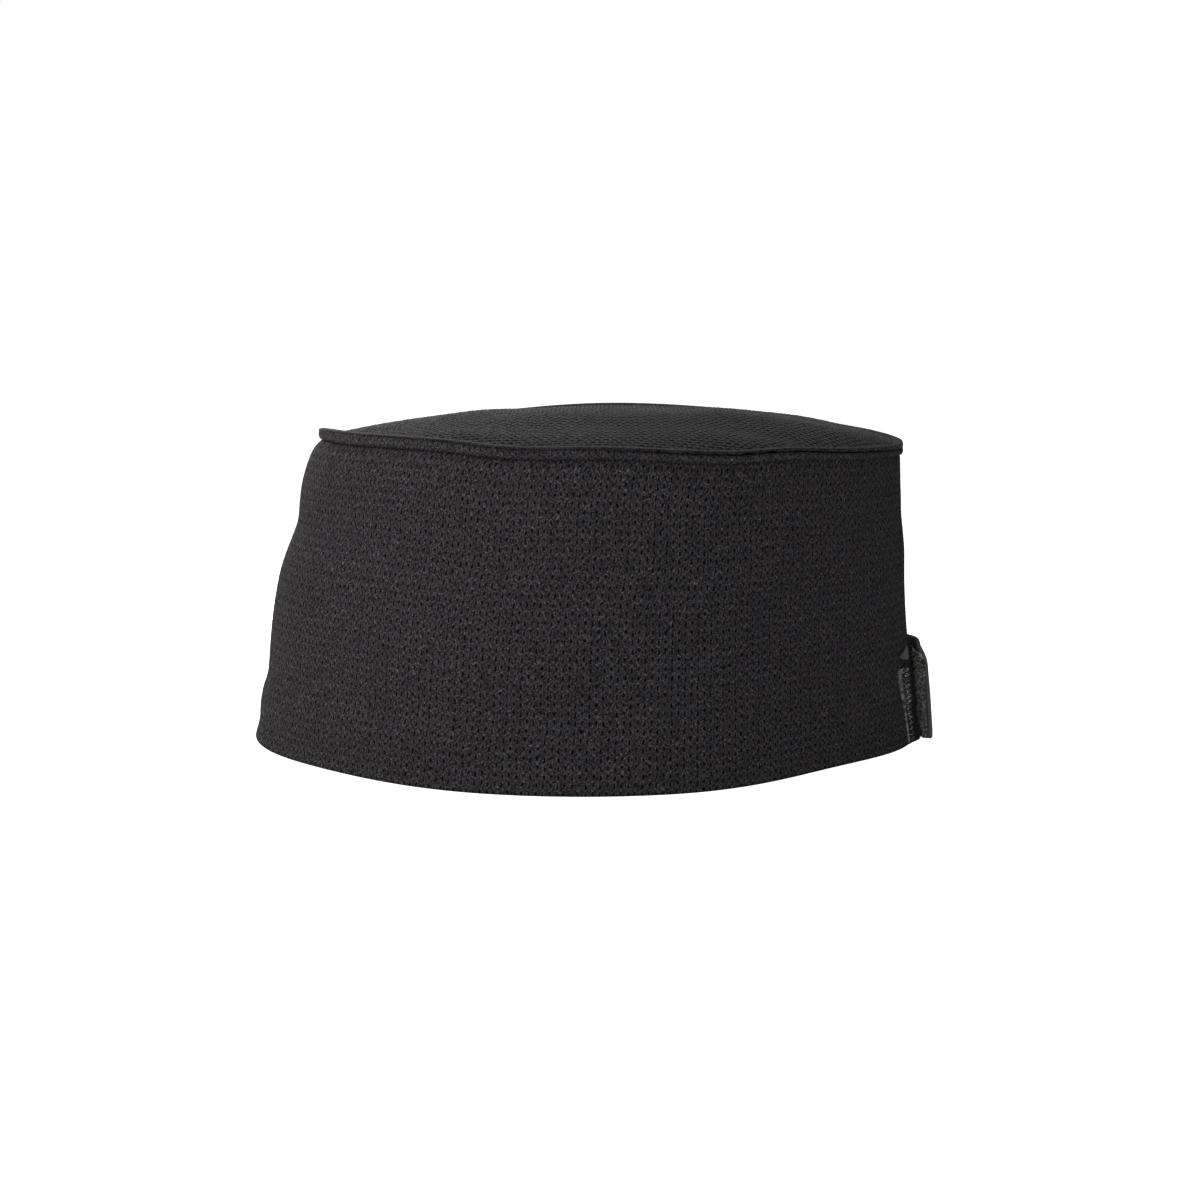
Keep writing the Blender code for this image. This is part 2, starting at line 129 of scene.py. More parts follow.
# place to the wearer's left and to the back, width and length, all as shares of the crown's half size,
# then direction in degrees and depth
crownFolds = (
    (0.48, 0.42, 0.13, 0.20, 60, -0.60),
    (0.62, -0.10, 0.16, 0.60, 90, -0.45),
    (-0.30, -0.38, 0.16, 0.45, 75, -0.25),
    (-0.62, 0.28, 0.14, 0.45, 80, -0.70),
    (0.10, 0.62, 0.16, 0.35, 20, -0.40),
    (0.76, -0.50, 0.14, 0.26, 55, 0.75),
    (0.10, -0.48, 0.11, 0.48, 155, 0.26),
    (0.62, 0.50, 0.10, 0.30, 75, -0.45),
    (-0.05, 0.80, 0.15, 0.22, 0, -0.40),
    (0.02, 0.24, 0.12, 0.22, 0, -0.30),
    (0.30, 0.72, 0.12, 0.30, 60, 0.35),
    (-0.45, -0.62, 0.24, 0.45, 150, -0.55),
    (-0.75, -0.32, 0.25, 0.35, 80, -0.55),
    (0.15, 0.36, 0.08, 0.36, 8, 0.18),
)


def mix(a, b, share):
    return a + (b - a) * share


def ease(share):
    share = np.clip(share, 0, 1)
    return share * share * (3 - 2 * share)


def hump(distance, width):
    return np.exp(-((distance / width) ** 2))


def smoothCurve(rows, column, period=0):
    # a smooth line through one column of a table, read by its first column
    keys = np.array([row[0] for row in rows], float)
    values = np.array([row[column] for row in rows], float)
    if period:
        keys = np.concatenate([keys - period, keys, keys + period])
        values = np.tile(values, 3)
    steps = np.diff(values) / np.diff(keys)
    slopes = np.concatenate([steps[:1], (values[2:] - values[:-2]) / (keys[2:] - keys[:-2]), steps[-1:]])

    def at(place):
        place = np.asarray(place, float)
        place = place % period if period else place
        low = np.clip(np.searchsorted(keys, place, "right") - 1, 0, len(keys) - 2)
        step = keys[low + 1] - keys[low]
        t = np.clip((place - keys[low]) / step, 0, 1)
        leaving = values[low] * (1 + 2 * t) + step * slopes[low] * t
        arriving = values[low + 1] * (3 - 2 * t) - step * slopes[low + 1] * (1 - t)
        return leaving * (1 - t) ** 2 + arriving * t * t

    return at


frontLean, backLean, sideLean = (smoothCurve(wallSections, column) for column in (1, 2, 3))
seamShare, reachShare = (smoothCurve(seamLine, column, 360) for column in (1, 2))


def halfTurn(angle):
    # the same angle, between -180 and 180 degrees
    return (angle + 180) % 360 - 180


def mirrored(angle):
    # the angle on the wearer's left that lies as far to the back
    return np.degrees(np.arcsin(np.sin(np.radians(angle))))


def flankShare(angle, share):
    taken = 0.0
    for place, spread, flattening, atTop, _ in flanks:
        taken = taken + flattening * mix(1, atTop, share) * hump(mirrored(angle) - place, spread)
    return 1 - taken


def rimLift(angle):
    lifted = 0.0
    for place, _, _, _, lift in flanks:
        lifted = lifted + lift * ease(1 - np.abs(mirrored(angle) - place) / cut["liftSpread"])
    return cut["rimLift"] * lifted


# The main sizes come from the frame's own boxes
allRound = np.arange(0, 360, 1.0)
rimWidth = (bandHigh.x - bandLow.x) / flankShare(0, 0)
rimLength = 2 * (bandHigh.y - bandLow.y) / (flankShare(90, 0) + flankShare(270, 0))
middleY = bandHigh.y - rimLength / 2 * flankShare(90, 0)
sideHeight = (bandHigh.z - cut["sideRoll"]) / seamShare(allRound).max()
crownWidth = (crownHigh.x - crownLow.x - 2 * cut["rollReach"]) / flankShare(0, 1)
crownFront = crownLow.y + cut["rollReach"] * reachShare(270)
crownBack = crownHigh.y - cut["rollReach"] * reachShare(90)
crownLength = 2 * (crownBack - crownFront) / (flankShare(90, 1) + flankShare(270, 1))
crownSetBack = crownBack - crownLength / 2 * flankShare(90, 1) - middleY


def seamHeight(angle):
    return sideHeight * seamShare(angle)


def wallFold(angle, share):
    moved = 0.0
    for place, height, wide, tall, lean, depth in wallFolds:
        aside = halfTurn(angle - place - lean * (share - height))
        moved = moved + depth * hump(aside, wide) * hump(share - height, tall)
    return cut["wallFold"] * moved


def wallPoints(angle, share, outward=0.0):
    # points of the wall's outer face, moved outward in plan
    angle, share, outward = np.broadcast_arrays(angle, share, outward)
    front = mix(-rimLength / 2, crownSetBack - crownLength / 2, frontLean(share))
    back = mix(rimLength / 2, crownSetBack + crownLength / 2, backLean(share))
    halfWidth = mix(rimWidth, crownWidth, sideLean(share)) / 2
    halfLength = (back - front) / 2
    turn = np.radians(angle)
    across, along = np.cos(turn), np.sin(turn)
    flat = flankShare(angle, share)
    normalX, normalY = across / halfWidth, along / halfLength
    size = np.hypot(normalX, normalY)
    moved = (wallFold(angle, share) + outward) / size
    x = halfWidth * across * flat + normalX * moved
    y = middleY + (front + back) / 2 + halfLength * along * flat + normalY * moved
    return np.stack([x, y, mix(rimLift(angle), seamHeight(angle), share)], -1)


def unit(vectors):
    return vectors / np.maximum(np.linalg.norm(vectors, axis=-1, keepdims=True), 1e-12)


def wallNormals(angle, share):
    # from small steps round the wall and up it
    turn, rise = 0.5, 0.01
    sideways = wallPoints(angle + turn, share) - wallPoints(angle - turn, share)
    upward = wallPoints(angle, np.minimum(share + rise, 1)) - wallPoints(angle, np.maximum(share - rise, 0))
    return unit(np.cross(sideways, upward))


print("cap form: rim %.1f x %.1f mm, seam about %.1f mm up"
      % (rimLength * 1e3, rimWidth * 1e3, sideHeight * 1e3))


# Camera, table and lights
studio = {
    "aim": (0.0, 0.00175, 0.0415),      # what the camera looks at
    "distance": 0.8,
    "pitch": 9.55,                      # degrees down
    "lens": 78.28,
    "sensor": 36,
    "floorColour": (0.86, 0.86, 0.86),
    "floorReach": 6.0,                  # from the cap to the floor's edges
    "skyWhite": 1.0,                    # the sky as the camera sees it
    "skyLight": 0.04,                   # and as it lights the cap
    "floorGlow": 1.15,                  # the floor's own light, for the camera alone
    "shade": (0.78, 0.90),              # it goes out inside the cap, between these shares of the rim's reach
    "lampAim": (0.0, 0.0, 0.05),
    "lights": (
        # name, direction from the cap, distance, width, height, watts, colour
        ("keyLight", (0.25, -0.80, 0.70), 0.36, 0.30, 0.30, 0.78, (1.0, 0.99, 0.98)),
        ("frontFill", (1.0, 0.0, 0.45), 1.00, 0.60, 0.60, 2.25, (1.0, 1.0, 1.0)),
        ("sideFill", (0.85, 0.55, 0.40), 0.80, 0.50, 0.50, 0.80, (1.0, 1.0, 1.0)),
        ("crownLight", (-0.80, -0.34, 0.42), 0.34, 0.22, 0.22, 0.85, (1.0, 1.0, 1.0)),
    ),
}


def pointAt(thing, target):
    thing.rotation_mode = "QUATERNION"
    thing.rotation_quaternion = (Vector(target) - thing.location).to_track_quat("-Z", "Y")


def setUpStudio():
    scene = bpy.context.scene
    pitch = math.radians(studio["pitch"])
    aim = Vector(studio["aim"])
    camera = bpy.data.objects.new("camera", bpy.data.cameras.new("camera"))
    camera.data.sensor_width = studio["sensor"]
    camera.data.lens = studio["lens"]
    camera.data.clip_start = 0.01
    camera.location = aim + studio["distance"] * Vector((math.cos(pitch), 0, math.sin(pitch)))
    pointAt(camera, aim)
    scene.collection.objects.link(camera)
    scene.camera = camera
    middle = Vector(studio["lampAim"])
    for name, towards, distance, width, height, watts, colour in studio["lights"]:
        lamp = bpy.data.lights.new(name, "AREA")
        lamp.shape = "RECTANGLE"
        lamp.size, lamp.size_y = width, height
        lamp.energy = watts
        lamp.color = colour
        light = bpy.data.objects.new(name, lamp)
        light.location = middle + Vector(towards).normalized() * distance
        pointAt(light, middle)
        scene.collection.objects.link(light)
    scene.view_settings.view_transform = "Standard"


# Shader maths: a node socket that takes part in plain sums
class Strand:
    def __init__(self, tree, socket=None):
        self.tree = tree
        self.socket = socket

    def node(self, kind, settings=None, sockets=None, output=0):
        made = self.tree.nodes.new(kind)
        for name, value in (settings or {}).items():
            setattr(made, name, value)
        for name, value in (sockets or {}).items():
            if isinstance(value, Strand):
                self.tree.links.new(value.socket, made.inputs[name])
            else:
                made.inputs[name].default_value = value
        return made if output is None else Strand(self.tree, made.outputs[output])

    def math(self, operation, *values):
        return self.node("ShaderNodeMath", {"operation": operation}, dict(enumerate(values)))

    def __add__(self, other):
        return self.math("ADD", self, other)

    def __sub__(self, other):
        return self.math("SUBTRACT", self, other)

    def __rsub__(self, other):
        return self.math("SUBTRACT", other, self)

    def __mul__(self, other):
        return self.math("MULTIPLY", self, other)

    def wrapped(self, low, high):
        return self.math("WRAP", self, high, low)

    def least(self, other):
        return self.math("MINIMUM", self, other)

    def most(self, other):
        return self.math("MAXIMUM", self, other)

    def sine(self):
        return self.math("SINE", self)

    def cosine(self):
        return self.math("COSINE", self)

    def size(self):
        return self.math("ABSOLUTE", self)

    def step(self, low, high, start=0.0, end=1.0):
        # rises softly from start to end as the value goes from low to high
        return self.node("ShaderNodeMapRange", {"interpolation_type": "SMOOTHSTEP"},
                         {"Value": self, "From Min": low, "From Max": high, "To Min": start, "To Max": end})

    def blend(self, colourA, colourB):
        # a colour between two, with this value as the share of the second
        return self.node("ShaderNodeMix", {"data_type": "RGBA"},
                         {"Factor": self, "A": opaque(colourA), "B": opaque(colourB)}, 2)

    def tinted(self, colour):
        # this colour, times another
        return self.node("ShaderNodeMix", {"data_type": "RGBA", "blend_type": "MULTIPLY"},
                         {"Factor": 1.0, "A": self, "B": opaque(colour)}, 2)

    def grey(self):
        # a colour with this value in all its channels
        return self.node("ShaderNodeCombineColor", {}, {"Red": self, "Green": self, "Blue": self})

    def parts(self, kind="ShaderNodeSeparateXYZ", name="Vector"):
        # the three values of a place or a colour
        split = self.node(kind, {}, {name: self}, None)
        return [Strand(self.tree, socket) for socket in split.outputs]

    def noise(self, scale, detail, flat=True, output=0):
        # soft clouds over this place
        return self.node("ShaderNodeTexNoise", {"noise_dimensions": "2D" if flat else "3D"},
                         {"Vector": self, "Scale": scale, "Detail": detail}, output)


def opaque(colour):
    return colour if isinstance(colour, Strand) else (*colour, 1)


def newMaterial(name, roughness, specular, sheen=0.0, sheenRoughness=0.5):
    material = bpy.data.materials.new(name)
    material.use_nodes = True
    shader = material.node_tree.nodes["Principled BSDF"]
    shader.inputs["Roughness"].default_value = roughness
    shader.inputs["Specular IOR Level"].default_value = specular
    shader.inputs["Sheen Weight"].default_value = sheen
    shader.inputs["Sheen Roughness"].default_value = sheenRoughness
    return material, shader, Strand(material.node_tree)


def finishMaterial(pen, shader, colour, height, distance):
    # wires a colour and a bump height to the shader
    normal = pen.node("ShaderNodeBump", {}, {"Strength": 1.0, "Distance": distance, "Height": height})
    pen.tree.links.new(colour.socket, shader.inputs["Base Color"])
    pen.tree.links.new(normal.socket, shader.inputs["Normal"])


def clothPlace(pen):
    # a place on the piece's own cloth map, and its two coordinates
    place = pen.node("ShaderNodeUVMap", {"uv_map": "knit"})
    u, v, _ = place.parts()
    return place, u, v


# lengths across the knit are in wales, the columns of holes, and lengths up it in courses, the rows
knit = {
    "colour": (0.0375, 0.0359, 0.0378),  # the yarn, in linear light
    "holeShadeColour": (0.0015, 0.0015, 0.0018),
    "holeDepth": 0.95,                   # how fully the painted shade shows through the deepest holes
    "holeShallow": 0.50,                 # and how much less through the shallowest
    "holePatches": (0.40, 0.60),         # the drift's values from the shallowest to the deepest
    "zigzag": 0.14,                      # how far the strands swing round the holes
    "holeStart": 0.490,                  # from this far off a strand's middle the mesh begins to open
    "holeEnd": 0.560,
    "holeLength": 0.10,                  # how much longer the holes are than the bars between them
    "holeSquare": 1.4,                   # how bluntly they end
    "holeLean": 0.28,                    # how far the two sides of a hole are shifted
    "wobble": 0.10,                      # how uneven the knit is
    "driftScale": 0.9,                   # how quickly that changes over it
    "stitches": 2,                       # stitches in each course
    "stitchSlant": 2.4,                  # how steep their chevrons are
    # the stitches' chevrons are painted lighter and darker, as painted light and shade of their loops
    "stitchLight": 0.48,
    "strandShade": 0.56,                 # how dark the sides and the middle line of a strand are painted, as painted shade of its roundness
    "fleckCells": (5.5, 7.0),            # flecks in each wale and course
    "fleckDark": 0.28,
    "fleckBright": 1.72,
    "glintBright": 1.0,                  # a few specks are painted brighter yet, as glints of the filament
    "glintStart": 0.88,                  # from this share of the flecks on
    "glintEnd": 0.97,
    "blueYarn": (0.94, 0.98, 1.13),      # tints of the flecks
    "brownYarn": (1.12, 1.01, 0.93),
    "foldedShut": 0.40,                  # how nearly the holes close where the knit is folded
    "foldedRib": 0.15,                   # and how much finer its ribs are there
    "foldedLight": 0.25,                 # and how much lighter its yarn is painted, partly for the double cloth that hides the mesh's dark, partly as painted light on the rolls
    "bumpDepth": 0.00040,
    "bumpShares": (0.25, 0.35, 0.12, 0.25),  # of the cloth round the holes, strands, stitches and flecks
    "roughness": 0.82,
    "specular": 0.10,
    "sheen": 0.02,
    "sheenRoughness": 0.35,
}

# on the crown the mesh is stretched open across, and its yarn looks lighter where it is seen along the cloth
crownKnit = {
    **knit,
    "colour": (0.0170, 0.0163, 0.0171),
    "holeDepth": 0.85,
    "holeShallow": 0.35,
    "holeStart": 0.37,
    "holeEnd": 0.43,
    "holeLength": 0.50,
    "holeSquare": 2.5,
    "holeLean": 0.0,
    "wobble": 0.04,
    "stitchLight": 0.2,
    "strandShade": 0.3,
    "foldedShut": 0.85,
    "foldedLight": 0.45,
    "sheen": 0.22,
    "sheenRoughness": 0.20,
}


def knitMaterial(name, look):
    material, shader, pen = newMaterial(name, look["roughness"], look["specular"], look["sheen"],
                                        look["sheenRoughness"])
    place, u, v = clothPlace(pen)
    driftU, driftV, patches = place.noise(look["driftScale"], 2.0, output=1).parts()
    uneven = look["wobble"] * 4
    u = u + (driftU - 0.5) * uneven
    v = v + (driftV - 0.5) * uneven

    # strands run up between the columns of holes and swing aside for each hole
    side = 1 - pen.math("GREATER_THAN", u.wrapped(0, 2), 1.0) * 2
    across = u.wrapped(0, 1) - 0.5
    wave = ((v + across * side * look["holeLean"]) * (2 * math.pi)).cosine()
    swing = wave * (1.5 - wave * wave * 0.5) * side * look["zigzag"]
    fromStrand = (across - swing).size()
    opening = (look["holeLength"] - pen.math("SIGN", across) * side * wave) * look["holeSquare"]
    towardsHole = across.size() + opening.least(1.0).most(-1.0) * look["zigzag"]
    folded = pen.node("ShaderNodeAttribute", {"attribute_name": "folded"}, {}, 2)
    hole = towardsHole.step(look["holeStart"], look["holeEnd"]) * (1 - folded * look["foldedShut"])
    strand = (fromStrand * (2 * math.pi)).sine()
    strand = strand + (((u * (4 * math.pi)).sine() - strand) * folded) * look["foldedRib"]
    stitch = (v * (look["stitches"] * 2 * math.pi) + fromStrand * (look["stitchSlant"] * 2 * math.pi)).sine()

    # flecks of lighter and darker filament; the brightest are partly painted glints
    cellsU, cellsV = look["fleckCells"]
    cells = pen.node("ShaderNodeCombineXYZ", {}, {"X": u * cellsU, "Y": v * cellsV})
    flecks = pen.node("ShaderNodeTexVoronoi", {"voronoi_dimensions": "2D", "feature": "SMOOTH_F1"},
                      {"Vector": cells, "Scale": 1.0, "Smoothness": 0.3}, 1)
    red, green, _ = flecks.parts("ShaderNodeSeparateColor", "Color")
    light = red * (look["fleckBright"] - look["fleckDark"]) + look["fleckDark"]
    light = light + red.step(look["glintStart"], look["glintEnd"]) * look["glintBright"]
    # the folded rolls are painted lighter, partly as painted light
    light = light * (folded * look["foldedLight"] + 1)
    # painted light and shade of the stitches' chevrons and of each strand's round sides
    light = light * (stitch * look["stitchLight"] + 1)
    light = light * (strand * look["strandShade"] + 1 - look["strandShade"] / 2)
    tint = green.step(0.2, 0.8).blend(look["brownYarn"], look["blueYarn"])
    yarn = tint.tinted(look["colour"]).tinted(light.grey())
    clothShare, strandShare, stitchShare, fleckShare = look["bumpShares"]
    height = (1 - hole) * clothShare + strand * strandShare + stitch * stitchShare + red * fleckShare
    finishMaterial(pen, shader, yarn, height, look["bumpDepth"])

    # painted shade: what shows through a hole is the cap's shaded inside, drawn as a dark surface with no
    # sheen
    dark = pen.node("ShaderNodeBsdfDiffuse", {}, {"Color": opaque(look["holeShadeColour"])})
    shallow = look["holeDepth"] * (1 - look["holeShallow"])
    depth = hole * patches.step(*look["holePatches"], shallow, look["holeDepth"])
    surface = pen.node("ShaderNodeMixShader", {}, {0: depth, 1: Strand(pen.tree, shader.outputs[0]), 2: dark})
    pen.tree.links.new(surface.socket, pen.tree.nodes["Material Output"].inputs["Surface"])
    return material


# colour and roughness of the woven cloths
cloths = {
    # one hook tape in two colours: its weave is painted near black as shade under the strap, and its folded
    # end far lighter as painted light
    "hookTapeWeavePaintedShade": ((0.005, 0.005, 0.005), 0.8),
    "hookTapeEndPaintedLight": ((0.155, 0.149, 0.146), 0.85),
    # the strap's black cloth is painted lighter than the cap's, as painted light lifting it out of the curl's
    # shade
    "strapClothPaintedLight": ((0.125, 0.120, 0.119), 0.9),
    "blackPileBacking": ((0.060, 0.056, 0.054), 0.95),
}
weave = {
    "specular": 0.25,
    "sheen": 0.05,
    "fuzzScale": 1.4,          # of the fuzz, against the threads
    "fuzzLight": 0.9,
    # painted light on the threads' tops and painted shade in the valleys between them
    "threadLight": 0.7,
    "valleyLight": 0.2,
    "bumpDepth": 0.00012,
}


def wovenMaterial(name):
    # a plain weave on the piece's own cloth map, one warp and one weft thread to each cell; its threads' tops
    # are painted lighter and its valleys darker, as painted light and shade
    colour, roughness = cloths[name]
    material, shader, pen = newMaterial(name, roughness, weave["specular"], weave["sheen"])
    place, u, v = clothPlace(pen)
    over = (u * math.pi).sine() * (v * math.pi).sine()
    warp = (u * (2 * math.pi)).cosine() * -0.5 + 0.5
    weft = (v * (2 * math.pi)).cosine() * -0.5 + 0.5
    thread = over.step(-0.25, 0.25)
    height = thread * warp + (1 - thread) * weft
    fuzz = place.noise(weave["fuzzScale"], 3.0)
    light = height * weave["threadLight"] + fuzz * weave["fuzzLight"] + weave["valleyLight"]
    finishMaterial(pen, shader, light.grey().tinted(colour), height + fuzz * 0.4, weave["bumpDepth"])
    return material


# darker and lighter colour of a yarn, how wide their patches are, roughness, specular and sheen
yarns = {
    # the ridge thread's lighter patches are partly painted highlight along the seam's roll
    "blackRidgeThreadHighlit": ((0.032, 0.031, 0.032), (0.080, 0.077, 0.077), 0.0030, 0.6, 0.3, 0.0),
    # the hook nylon's pale patches are painted glints of its glossy hooks
    "blackHookNylonPaintedGlints": ((0.003, 0.003, 0.003), (0.62, 0.61, 0.60), 0.0006, 0.25, 0.5, 0.0),
    "blackEdgeThread": ((0.08, 0.075, 0.070), (0.40, 0.39, 0.38), 0.0014, 0.6, 0.3, 0.0),
    "blackThread": ((0.030, 0.029, 0.030), (0.055, 0.053, 0.053), 0.0020, 0.5, 0.3, 0.0),
    "blackPileYarn": ((0.030, 0.029, 0.029), (0.42, 0.41, 0.40), 0.0007, 0.95, 0.1, 0.1),
    "greyPileEdge": ((0.22, 0.195, 0.175), (0.60, 0.55, 0.50), 0.0011, 0.9, 0.3, 0.0),
}
yarnFuzz = 9                   # how many times finer than its patches a yarn's fuzz is
yarnBump = 0.00003


def yarnMaterial(name, litFrom=None):
    # bare yarn or filament; where litFrom is given, it is painted dark on the wearer's right of that x, as
    # shade
    darkColour, lightColour, patch, roughness, specular, sheen = yarns[name]
    material, shader, pen = newMaterial(name, roughness, specular, sheen)
    place = pen.node("ShaderNodeTexCoord", {}, {}, 3)
    share = place.noise(1 / patch, 1.0, False).step(0.35, 0.65)
    if litFrom is not None:
        share = share * place.parts()[0].step(litFrom, litFrom + 0.003)
    fuzz = place.noise(yarnFuzz / patch, 1.0, False)
    finishMaterial(pen, shader, share.blend(darkColour, lightColour), fuzz, yarnBump)
    return material


# Meshes from grids of points
def addPiece(name, points, faces, material, clothMap=None, folded=None):
    mesh = bpy.data.meshes.new(name)
    mesh.from_pydata(points.reshape(-1, 3).tolist(), [], faces)
    if clothMap is not None:
        corners = np.empty(len(mesh.loops), np.int32)
        mesh.loops.foreach_get("vertex_index", corners)
        layer = mesh.uv_layers.new(name="knit")
        layer.uv.foreach_set("vector", clothMap.reshape(-1, 2)[corners].astype(np.float32).ravel())
    if folded is not None:
        mesh.attributes.new("folded", "FLOAT", "POINT").data.foreach_set("value", folded.astype(np.float32))
    mesh.shade_smooth()
    piece = bpy.data.objects.new(name, mesh)
    bpy.context.scene.collection.objects.link(piece)
    mesh.materials.append(material)
    return piece


def gridFaces(rows, columns, start=0, closed=False, flip=False):
    # quads over a grid that is stored row by row; closed joins its last column to the first
    row, column = np.meshgrid(np.arange(rows - 1), np.arange(columns - (0 if closed else 1)), indexing="ij")
    here = start + row * columns + column
    beside = start + row * columns + (column + 1) % columns
    quads = np.stack([here, beside, beside + columns, here + columns], -1).reshape(-1, 4)
    return (quads[:, ::-1] if flip else quads).tolist()


def stitchFaces(fine, coarse, ratio):
    # faces between a fine line of points and a coarse one, with ratio fine steps to each coarse step
    faces = []
    for i in range(len(coarse) - 1):
        run = fine[i * ratio:(i + 1) * ratio + 1]
        faces.append([coarse[i], coarse[i + 1], *run[::-1]])
    return faces


def buildFloor():
    size = studio["floorReach"]
    corners = np.array([[-size, -size, 0], [size, -size, 0], [size, size, 0], [-size, size, 0]])
    paper, shader, pen = newMaterial("paleFloor", 0.9, 0.1)
    shader.inputs["Base Color"].default_value = opaque(studio["floorColour"])
    shader.inputs["Emission Strength"].default_value = 1.0
    # inside the cap the table has no glow of its own
    place = pen.node("ShaderNodeTexCoord", {}, {}, 3)
    away = pen.node("ShaderNodeVectorMath", {"operation": "MULTIPLY"},
                    {0: place, 1: (2 / rimWidth, 2 / rimLength, 0)})
    reach = pen.node("ShaderNodeVectorMath", {"operation": "LENGTH"}, {0: away}, 1)
    seen = pen.node("ShaderNodeLightPath") * studio["floorGlow"] * reach.step(*studio["shade"])
    pen.tree.links.new(seen.grey().socket, shader.inputs["Emission Color"])
    addPiece("floor", corners, [[0, 1, 2, 3]], paper)
    world = bpy.data.worlds.new("studioWorld")
    bpy.context.scene.world = world
    world.use_nodes = True
    world.node_tree.nodes.clear()
    pen = Strand(world.node_tree)
    seen = pen.node("ShaderNodeLightPath")
    strength = seen * (studio["skyWhite"] - studio["skyLight"]) + studio["skyLight"]
    sky = pen.node("ShaderNodeBackground", {}, {"Color": (1, 1, 1, 1), "Strength": strength})
    pen.node("ShaderNodeOutputWorld", {}, {"Surface": sky}, None)


band = {
    "wales": 290,              # columns of holes round the cap
    "courses": 37,             # rows of holes from the rim to the seam
    "measuredAt": 0.4,         # share of the wall's height at which all wales are equally wide
    "relief": 0.00006,         # how deep the knit's quilting is
    "fades": (0.002, 0.02, 0.003),   # it dies away at the rim, under the seam and at the slit
    "rollRelief": 1.3,         # and is this many times deeper on the seam's roll
    "slitHeight": 0.034,
    "slitWidth": 0.0014,
    "slitClose": 0.004,        # over this height the slit closes to the centre-back seam
    "seamDip": 0.0009,         # depth and width of that seam's groove
    "seamWidth": 0.0011,
    "shallowDip": 0.6,         # its share of that depth beside the slit and on the roll
    "gather": 0.00016,         # small gathers under the seam round the crown
    "gatherReach": 0.06,
    "tuck": 0.0003,            # how far that seam draws the wall in
    "tuckReach": 0.012,
    "rollCourse": 0.0019,      # the courses are shorter where the knit is rolled over
    "rollTurn": (76, 86),      # degrees that the roll turns below and above the level
    "rollSteps": 12,
    "rollFoot": 0.12,          # the least reach in its section
    "hemEdge": 0.004,          # half of the step at the hem's edge, as a share of the wall's height
    "hemRidge": 0.0004,        # the hem is thicker along that edge
    "rimThinning": 0.0008,     # and thinner where it is folded at the rim
    "coarse": 5,               # inside, columns and rows are this many times wider
}
finePerWale, finePerCourse = 2, 4    # columns of the mesh in each wale, and rows in each course
pressedTurn = 38                     # degrees that a roll turns where it is pressed on to the other


def arcAngles(share):
    # angles at even steps round the wall, from the centre back round to it again, and the length run so far
    angles = np.linspace(90, 450, 3601)
    points = wallPoints(angles, share)
    run = np.concatenate([[0], np.linalg.norm(np.diff(points, axis=0), axis=1).cumsum()])
    return angles, run


def rollNoise(count, seed, waves):
    # a smooth random line round the cap
    chance = np.random.default_rng(seed)
    turn = np.linspace(0, 2 * math.pi, count)
    line = np.zeros(count)
    for wave in waves:
        line += chance.normal() * np.sin(wave * turn + chance.uniform(0, 2 * math.pi))
    return line / math.sqrt(len(waves))


def stitchPull(count, seed, waves):
    # how unevenly its stitches draw a roll in, finely and in longer waves
    return 1 + 0.06 * rollNoise(count, seed, waves) + 0.05 * rollNoise(count, seed + 1, range(12, 40, 5))


def quilting(wale, course):
    return -np.cos(math.pi * wale) * np.cos(2 * math.pi * course)


# the ridge of the seam: degrees round, how much of its full height it has, the lower roll's share
# of that, the gap between its rolls in millimetres, how far the upper roll reaches beside the lower,
# how round the rolls are, and how flat they are pressed together
ridge = (
    (0, 1.00, 0.68, 0.05, 0.98, 0.75, 0.60),
    (12, 1.00, 0.66, 0.16, 0.94, 0.75, 0.10),
    (24, 1.00, 0.64, 0.35, 1.00, 0.75, 0.00),
    (45, 0.98, 0.60, 0.40, 1.04, 0.70, 0.00),
    (70, 0.95, 0.53, 0.30, 1.06, 0.50, 0.20),
    (90, 0.95, 0.47, 0.08, 1.02, 0.40, 0.60),
    (120, 0.90, 0.58, 0.20, 1.00, 0.60, 0.30),
    (180, 0.90, 0.66, 0.20, 0.95, 0.75, 0.10),
    (230, 0.85, 0.70, 0.04, 0.90, 0.75, 0.60),
    (258, 0.78, 0.72, 0.02, 0.94, 0.60, 0.95),
    (275, 0.84, 0.72, 0.02, 0.96, 0.60, 1.00),
    (290, 0.98, 0.76, 0.02, 0.92, 0.65, 0.90),
    (315, 1.00, 0.78, 0.03, 0.84, 0.75, 0.55),
    (335, 1.00, 0.72, 0.01, 1.00, 0.75, 1.00),
    (348, 1.00, 0.70, 0.01, 1.00, 0.75, 1.00),
)
ridgeRise, lowShare, ridgeGap, upperReach, roundness, pressed = (
    smoothCurve(ridge, column, 360) for column in range(1, 7))


def ridgeHeight(angle):
    return (cut["sideRoll"] + cut["crownRoll"] + cut["seamGap"]) * ridgeRise(angle)


def rollSection(start, end, look, angle):
    # reach and rise of a plump fold of cloth, from its underside round to its top
    foot = look["rollFoot"]
    low, high = np.sin(start), np.sin(end)
    for along in np.linspace(0, 1, look["rollSteps"]):
        turn = mix(start, end, along)
        yield foot + (1 - foot) * np.cos(turn) ** roundness(angle), (np.sin(turn) - low) / (high - low)


def pressedEnd(full, angle):
    # in radians, how far a roll turns where it meets the other, less where the two are pressed together
    return np.radians(mix(full, pressedTurn, pressed(angle)))


